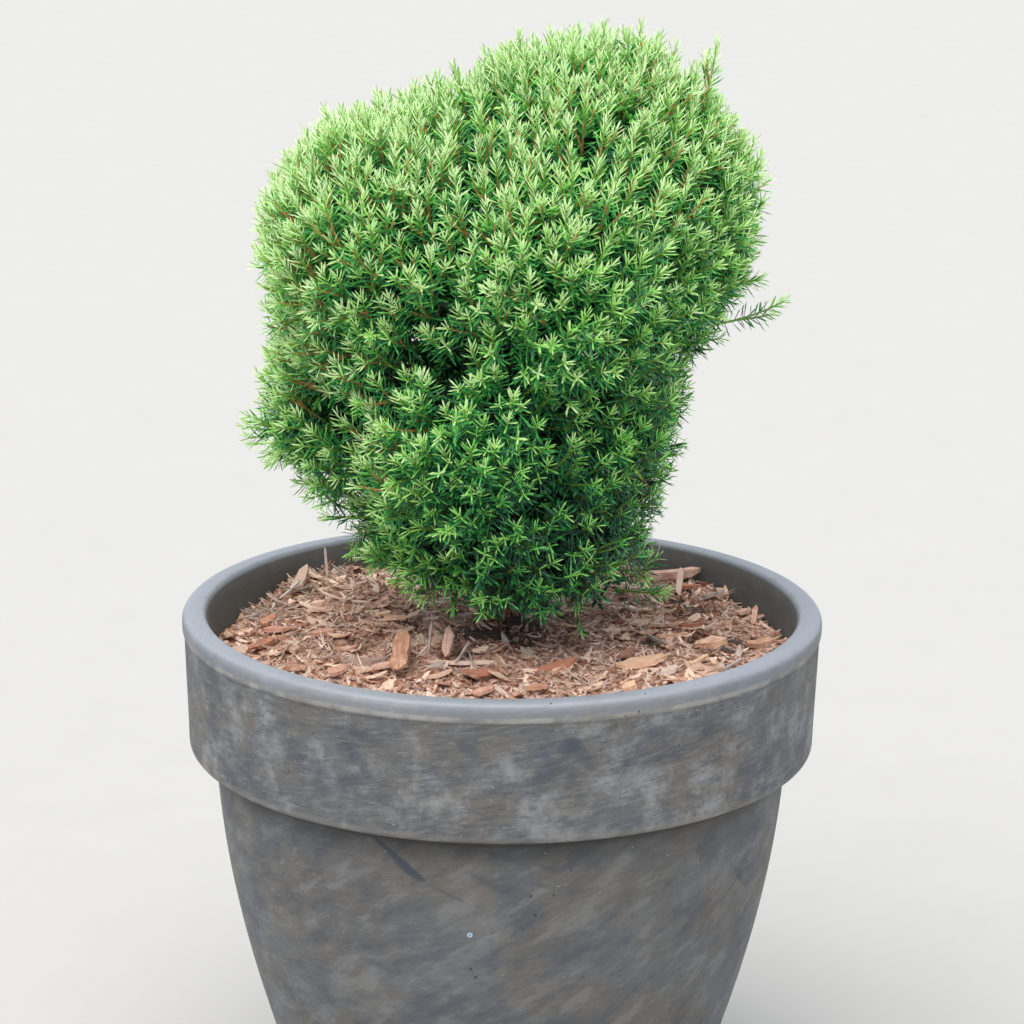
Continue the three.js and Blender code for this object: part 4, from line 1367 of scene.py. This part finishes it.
def thin_out(points, spacing):
    """Numbers of the points that stay when none may be closer than the spacing."""
    cells = {}
    kept = []
    for i, point in enumerate(points):
        cell = tuple((point // spacing).astype(int))
        near = [
            j
            for dx in (-1, 0, 1) for dy in (-1, 0, 1) for dz in (-1, 0, 1)
            for j in cells.get((cell[0] + dx, cell[1] + dy, cell[2] + dz), ())
        ]
        if all(np.sum((points[j] - point) ** 2) > spacing**2 for j in near):
            cells.setdefault(cell, []).append(i)
            kept.append(i)
    return kept


def over_crown(spacing, depth):
    """Places at a depth below the outline of every mass, none closer than the spacing."""
    found = []
    for number, mass in enumerate(masses):
        count = int(SHOOT_CANDIDATES * 4 * math.pi * mass["radius"] ** 2 / spacing**2)
        depths = chance.uniform(*depth, count)
        places = surface_along(np.array(mass["centre"]), directions_over(count), depths)
        found.append(places[owner_of(places) == number])
    places = np.concatenate(found)
    places = places[chance.permutation(len(places))]
    return places[thin_out(places, spacing)]


def shoots_to(tips, heading, aim, length, **rest):
    """Shoots that end at their tips. Each bends from its heading to its aim."""
    heading, aim = unit(heading), unit(aim)
    count = len(tips)
    made = {
        "root": tips - length[:, None] * (heading + aim) / 2,
        "heading": heading,
        "aim": aim,
        "length": length,
        "owner": owner_of(tips),
        "luck": chance.random(count),
    }
    return made | {key: np.broadcast_to(value, count) for key, value in rest.items()}


def above_foot(tips):
    """Which tips lie above the crown's foot line, a shallow V that is lowest in front of the trunk."""
    across = tips[:, 0] - FOOT_LOWEST[0]
    lowest = FOOT_LOWEST[1] + np.maximum(FOOT_SLOPES[0] * across, FOOT_SLOPES[1] * across)
    return tips[:, 2] > POT_HEIGHT + lowest


tips = over_crown(SHOOT_SPACING, (0, 0))
outward = outward_at(tips)
tuck = np.array([TUCKED.get(mass["name"], 0) for mass in masses])[owner_of(tips)]
leaders = chance.random(len(tips)) < LEADER_SHARE
tips = tips - outward * (chance.uniform(*TIP_DEPTH, len(tips)) + tuck - leaders * LEADER_RISE)[:, None]
allowed = above_foot(tips)
tips, outward = tips[allowed], outward[allowed]
height_share = np.clip((tips[:, 2] - POT_HEIGHT) / CROWN_HEIGHT, 0, 1)
rise = lerp(RISE_AT_FOOT, RISE_AT_TOP, height_share)[:, None] * np.array((0, 0, 1))
stray = chance.normal(0, SHOOT_SPREAD, tips.shape)
aim = unit(outward + AIM_RISE * rise + stray)
sunny = np.clip(aim @ unit(np.array(SUNWARD)), 0, 1)
exposure = EXPOSURE_BASE + EXPOSURE_BY_HEIGHT * height_share + EXPOSURE_BY_SUN * sunny
usual_length = lerp(SHOOT_LENGTH_FOOT, SHOOT_LENGTH_TOP, height_share)
usual_forks = FORKS_AT_FOOT + FORKS_BY_HEIGHT * height_share
young = shoots_to(
    tips, outward + HEADING_RISE * rise + stray, aim,
    usual_length * chance.uniform(*SHOOT_LENGTH_RANGE, len(tips)),
    exposure=np.clip(exposure, 0, 1), broadness=1,
    forks=(usual_forks + chance.random(len(tips))).astype(int),
)
tips = over_crown(OLD_SPACING, OLD_DEPTH)
tips = tips[above_foot(tips)]
outward = outward_at(tips)
old = shoots_to(
    tips, outward, outward + chance.normal(0, OLD_SPREAD, tips.shape),
    np.full(len(tips), OLD_LENGTH),
    exposure=OLD_EXPOSURE * (tips[:, 2] - POT_HEIGHT) / CROWN_HEIGHT,
    broadness=OLD_BROADNESS, forks=0,
)
sprig_tips, headings, aims, lengths, forks, exposures = zip(*SPRIGS)
sprigs = shoots_to(
    *(np.array(part, float) for part in (sprig_tips, headings, aims, lengths)),
    exposure=exposures, broadness=1, forks=forks,
)
shoots = {key: np.concatenate([young[key], old[key], sprigs[key]]) for key in young}


# Branches and twigs: inside each mass, brown branches leave the bough's stem towards all
# sides, and a twig runs from the nearest of them to the foot of each shoot.
BRANCH_SPACING = 33
BRANCH_DEPTH = 25
BRANCH_STATIONS = 9
BRANCH_RADII = (1.7, 0.8)
BRANCH_SIDES = 5
BRANCH_BEND = 0.22
BRANCHES_FROM = 0.5
TWIG_STATIONS = 5
TWIG_RADII = (0.75, 0.5)
TWIG_SIDES = 3
TWIG_BEND = 0.5
TWIGS_FROM = 4

for number, mass in enumerate(masses):
    centre = np.array(mass["centre"])
    count = int(4 * math.pi * mass["radius"] ** 2 / BRANCH_SPACING**2)
    ends = surface_along(centre, directions_over(count), BRANCH_DEPTH)
    ends = ends[(owner_of(ends) == number) & (ends[:, 2] > POT_HEIGHT)]
    first_fork = int(BRANCHES_FROM * BOUGH_STATIONS)
    forks = chance.integers(first_fork, BOUGH_STATIONS - 1, len(ends))
    starts = mass["limb"][forks]
    onward = mass["limb"][forks + 1] - starts
    gaps = np.linalg.norm(ends - starts, axis=-1, keepdims=True)
    bends = (starts + ends) / 2 + unit(onward) * gaps * BRANCH_BEND
    mass["branches"] = curve_through(starts, bends, ends, BRANCH_STATIONS)

twig_starts = np.empty_like(shoots["root"])
for number, mass in enumerate(masses):
    mine = np.flatnonzero(shoots["owner"] == number)
    ends = mass["branches"][:, -1]
    nearest = ((shoots["root"][mine, None] - ends) ** 2).sum(-1).argmin(-1)
    stations = chance.integers(TWIGS_FROM, BRANCH_STATIONS, len(mine))
    twig_starts[mine] = mass["branches"][nearest, stations]
gaps = np.linalg.norm(shoots["root"] - twig_starts, axis=-1, keepdims=True)
twig_bends = shoots["root"] - shoots["heading"] * gaps * TWIG_BEND
twigs = {
    "line": curve_through(twig_starts, twig_bends, shoots["root"], TWIG_STATIONS),
    "owner": shoots["owner"],
}


# Side shoots: one to three fork from each young shoot, like the arms of a candlestick, and
# soon run upright alongside it.
SIDE_FORKS = (0.2, 0.62)
SIDE_ANGLES = (36, 7)
SIDE_LENGTHS = (0.55, 0.95)
SIDE_LEAST = 1.5

forked = np.repeat(np.arange(len(shoots["forks"])), shoots["forks"])
fork = chance.uniform(*SIDE_FORKS, len(forked))[:, None]
main = {key: values[forked] for key, values in shoots.items()}
stem_aim = unit(main["heading"] + (main["aim"] - main["heading"]) * fork)
sideways = unit(np.cross(stem_aim, chance.normal(0, 1, stem_aim.shape)))
first, last = (math.radians(angle) for angle in SIDE_ANGLES)
side_way = main["heading"] * fork + (main["aim"] - main["heading"]) * fork**2 / 2
side_length = main["length"] * (1 - fork[:, 0]) * chance.uniform(*SIDE_LENGTHS, len(forked))
side_shoots = main | {
    "root": main["root"] + main["length"][:, None] * side_way,
    "heading": stem_aim * math.cos(first) + sideways * math.sin(first),
    "aim": stem_aim * math.cos(last) + sideways * math.sin(last),
    "length": side_length + SIDE_LEAST,
}


# Needles: soft, flat and narrow, in pairs that cross along each shoot. They stand out in
# stars low on the crown and lie forward on the pale plumes at its top.
PAIR_SPACING = 1.75
SIDE_CROWDING = 0.9
INNER_PAIR_SPACING = 3.0
NEEDLES_FROM = 0.08
SIDE_NEEDLES_FROM = 0.1
NEEDLE_LENGTHS = (10.4, 7.8)
NEEDLE_LENGTH_RANGE = (0.82, 1.15)
NEEDLE_WIDTH = 0.98
NEEDLE_WIDTH_RANGE = (0.88, 1.12)
NEEDLE_FOOT_HALF = 0.32
NEEDLE_SHOULDER = 0.7
NEEDLE_SHOULDER_CURVE = 0.4
NEEDLE_KEEL = 0.36
NEEDLE_CURVE = 0.1
TIP_SHORTENING = (0.62, 0.42)
SHORTENING_POWER = 3.5
NEEDLE_PITCH_OPEN = (84, 70)
NEEDLE_PITCH_TIP = (42, 20)
NEEDLE_PITCH_SPREAD = 6
NEEDLE_TURN_SPREAD = 0.22
NEEDLE_ROLL = 0.35
OPENNESS = (4.5, 1.7)
PAIR_START = 0.3
PAIR_SLIP = 0.7
TIP_CROWDING = 1.28
PLUME_STARTS = (0.79, 0.5)
PLUME_ENDS = (0.98, 0.86)
PLUME_GAINS = (0.48, 0.9)
PLUME_POWER = 1.2
PLUME_LEAST = 0.65
PLUME_BY_LUCK = 0.35
PLUME_BROADNESS = 0.22
PALENESS_BASE = 0.025
PALENESS_BY_GROWTH_AND_LIGHT = 0.38
PALENESS_SPREAD = 0.06
NEEDLE_FACES = np.array((
    (0, 1, 2), (0, 2, 3), (1, 0, 4), (0, 3, 4), (1, 4, 2), (3, 2, 5), (2, 4, 5), (4, 3, 5),
))
TIP_FACES = 3
NEEDLE_COLOURS = (
    (19, 58, 40), (32, 104, 62), (57, 150, 72), (95, 182, 84),
    (134, 206, 94), (166, 224, 112), (194, 234, 144), (214, 242, 176),
)
NEEDLE_TAN = (208, 200, 148)
TAN_FROM = 0.5
TAN_SHARE = 0.6
LEAF_ROUGHNESS = 0.36
STEM_COLOURS = ((118, 156, 62), (200, 144, 86))
TWIG_COLOUR = (92, 68, 48)
STEM_RADII = (0.75, 0.45)
STEM_SIDES = 3
STEM_END = 0.97
SHOOT_STATIONS = 5
SIDE_STATIONS = 3
RIPE_EXPOSURE = 0.62
RIPE_SHARE = (0.15, 0.68)


def smooth_step(values, low, high):
    """Rises smoothly from 0 at low to 1 at high."""
    share = np.clip((values - low) / (high - low), 0, 1)
    return share**2 * (3 - 2 * share)


def along_stem(stems, share):
    """Places and directions at one share of each stem's length."""
    share = share[:, None]
    bend = stems["aim"] - stems["heading"]
    places = stems["root"] + stems["length"][:, None] * (stems["heading"] * share + bend * share**2 / 2)
    return places, unit(stems["heading"] + bend * share)


def needle_points(base, direction, across, ahead, length, width):
    """Six points for each needle: a root edge, two shoulders, a keel and a tip."""
    length, width = length[:, None], width[:, None]
    back = np.cross(direction, across)
    curve = ahead * length * NEEDLE_CURVE
    shoulder = base + direction * length * NEEDLE_SHOULDER + curve * NEEDLE_SHOULDER_CURVE
    return np.stack([
        base - across * width * NEEDLE_FOOT_HALF,
        base + across * width * NEEDLE_FOOT_HALF,
        shoulder + across * width * 0.5,
        shoulder - across * width * 0.5,
        shoulder + back * width * NEEDLE_KEEL,
        base + direction * length + curve,
    ], axis=1)


def grow_needles(stems, spacing, start):
    """Needles in crossed pairs along stems, with the colour number of each needle and its tip."""
    pairs = np.maximum(3, (stems["length"] * (1 - start) / spacing).astype(int))
    of_stem = np.repeat(np.arange(len(pairs)), 2 * pairs)
    rank = np.concatenate([np.repeat(np.arange(count), 2) for count in pairs])
    partner = np.tile((0, 1), len(rank) // 2)
    total = len(of_stem)
    own = {key: values[of_stem] for key, values in stems.items()}
    evenly = (rank + PAIR_START + PAIR_SLIP * chance.random(total)) / pairs[of_stem]
    share = start + (1 - start) * (1 - (1 - evenly) ** TIP_CROWDING)
    base, ahead = along_stem(own, share)
    start_turn = chance.uniform(0, 2 * math.pi, len(pairs))[of_stem]
    bearing = start_turn + rank * math.pi / 2 + partner * math.pi
    bearing += chance.normal(0, NEEDLE_TURN_SPREAD, total)
    reference = unit(np.cross(ahead, ASKEW))
    other = np.cross(ahead, reference)
    radial = reference * np.cos(bearing)[:, None] + other * np.sin(bearing)[:, None]
    exposure = own["exposure"]
    open_pitch = lerp(*NEEDLE_PITCH_OPEN, exposure)
    tip_pitch = lerp(*NEEDLE_PITCH_TIP, exposure)
    pitch = lerp(open_pitch, tip_pitch, share ** lerp(*OPENNESS, exposure))
    pitch = np.radians(pitch + chance.normal(0, NEEDLE_PITCH_SPREAD, total))[:, None]
    direction = ahead * np.cos(pitch) + radial * np.sin(pitch)
    flat = np.cross(ahead, radial)
    roll = chance.normal(0, NEEDLE_ROLL, total)[:, None]
    across = flat * np.cos(roll) + np.cross(direction, flat) * np.sin(roll)
    shortening = 1 - lerp(*TIP_SHORTENING, exposure) * share**SHORTENING_POWER
    length = lerp(*NEEDLE_LENGTHS, exposure) * shortening
    length = length * chance.uniform(*NEEDLE_LENGTH_RANGE, total)
    plume = smooth_step(share, lerp(*PLUME_STARTS, exposure), lerp(*PLUME_ENDS, exposure))
    width = NEEDLE_WIDTH * np.sqrt(length / NEEDLE_LENGTHS[0])
    width = width * chance.uniform(*NEEDLE_WIDTH_RANGE, total)
    width = width * own["broadness"] * (1 + PLUME_BROADNESS * plume * exposure)
    points = needle_points(base, direction, across, ahead, length, width)
    growing = plume * (PLUME_LEAST + PLUME_BY_LUCK * own["luck"])
    gain = lerp(*PLUME_GAINS, exposure**PLUME_POWER)
    # Paler where exposure is higher: partly young growth, partly painted light from above and from the sun's
    # side.
    paleness = PALENESS_BASE + PALENESS_BY_GROWTH_AND_LIGHT * exposure + gain * growing
    paleness = paleness + chance.normal(0, PALENESS_SPREAD, total)
    kinds = np.clip(paleness * len(NEEDLE_COLOURS), 0, len(NEEDLE_COLOURS) - 1).astype(int)
    tan_tip = chance.random(total) < TAN_SHARE * np.clip(exposure - TAN_FROM, 0, 1) * growing
    tips = np.where(tan_tip, len(NEEDLE_COLOURS), np.minimum(kinds + 1, len(NEEDLE_COLOURS) - 1))
    return {"points": points, "kinds": kinds, "tips": tips, "owner": own["owner"]}


def leaf_material(name, colour):
    return make_material(
        name, Base_Color=srgb(*colour), Roughness=LEAF_ROUGHNESS, Specular_IOR_Level=0.5,
    )


needle_materials = [leaf_material(f"needle_{i}", colour) for i, colour in enumerate(NEEDLE_COLOURS)]
needle_materials += [leaf_material("needle_tan", NEEDLE_TAN)]
stem_materials = [leaf_material(f"stem_{i}", colour) for i, colour in enumerate(STEM_COLOURS)]
twig_material = leaf_material("twig", TWIG_COLOUR)


def inner_stems(lines, owner):
    """The outer three quarters of twigs or branches, which carry old needles in the darkest colours: partly
    old growth, partly painted shade.
    """
    first, last = lines[:, lines.shape[1] // 4], lines[:, -1]
    gaps = np.linalg.norm(last - first, axis=-1)
    return {
        "root": first, "heading": unit(last - first), "aim": unit(last - first), "length": gaps,
        "owner": owner, "exposure": np.zeros(len(gaps)), "luck": np.zeros(len(gaps)),
        "broadness": np.full(len(gaps), OLD_BROADNESS),
    }


def joined(parts):
    """The points and faces of several sets of tubes, as those of one mesh."""
    points = np.concatenate([part[0] for part in parts])
    shifts = np.cumsum([0, *(len(part[0]) for part in parts[:-1])])
    faces = np.concatenate([part[1] + shift for part, shift in zip(parts, shifts)])
    return points, faces


branch_lines = np.concatenate([mass["branches"] for mass in masses])
branch_owner = np.repeat(np.arange(len(masses)), [len(mass["branches"]) for mass in masses])
grown = [
    grow_needles(shoots, PAIR_SPACING, NEEDLES_FROM),
    grow_needles(side_shoots, PAIR_SPACING * SIDE_CROWDING, SIDE_NEEDLES_FROM),
    grow_needles(inner_stems(twigs["line"], twigs["owner"]), INNER_PAIR_SPACING, 0),
    grow_needles(inner_stems(branch_lines, branch_owner), INNER_PAIR_SPACING, 0),
]
needles = {key: np.concatenate([part[key] for part in grown]) for key in grown[0]}

for number, mass in enumerate(masses):
    name = mass["name"]
    mine = needles["owner"] == number
    points = needles["points"][mine]
    corners = np.arange(len(points))[:, None, None] * points.shape[1]
    faces = (NEEDLE_FACES + corners).reshape(-1, 3)
    kinds = np.repeat(needles["kinds"][mine, None], len(NEEDLE_FACES), axis=1)
    kinds[:, -TIP_FACES:] = needles["tips"][mine, None]
    piece = add_piece(f"needles_{name}", points, faces, needle_materials, kinds.ravel())
    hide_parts(f"foliage_{name}")
    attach(piece, "root")

    soft, kinds = [], []
    for stems, stations in ((shoots, SHOOT_STATIONS), (side_shoots, SIDE_STATIONS)):
        own = {key: values[stems["owner"] == number] for key, values in stems.items()}
        shares = np.linspace(0, STEM_END, stations)
        lines = [along_stem(own, np.full(len(own["luck"]), share))[0] for share in shares]
        soft.append(tubes(np.stack(lines, 1), np.linspace(*STEM_RADII, stations), STEM_SIDES))
        along = np.linspace(0, 1, len(tube_faces(stations, STEM_SIDES)))
        middle = (along > RIPE_SHARE[0]) & (along < RIPE_SHARE[1])
        ripe = (own["exposure"][:, None] > RIPE_EXPOSURE) & middle
        kinds.append(ripe.ravel().astype(int))
    piece = add_piece(f"shoots_{name}", *joined(soft), stem_materials, np.concatenate(kinds))
    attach(piece, "root")

    lines = twigs["line"][twigs["owner"] == number]
    woody = [
        tubes(lines, np.linspace(*TWIG_RADII, TWIG_STATIONS), TWIG_SIDES),
        tubes(mass["branches"], np.linspace(*BRANCH_RADII, BRANCH_STATIONS), BRANCH_SIDES),
    ]
    piece = add_piece(f"twigs_{name}", *joined(woody), [twig_material])
    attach(piece, "root")
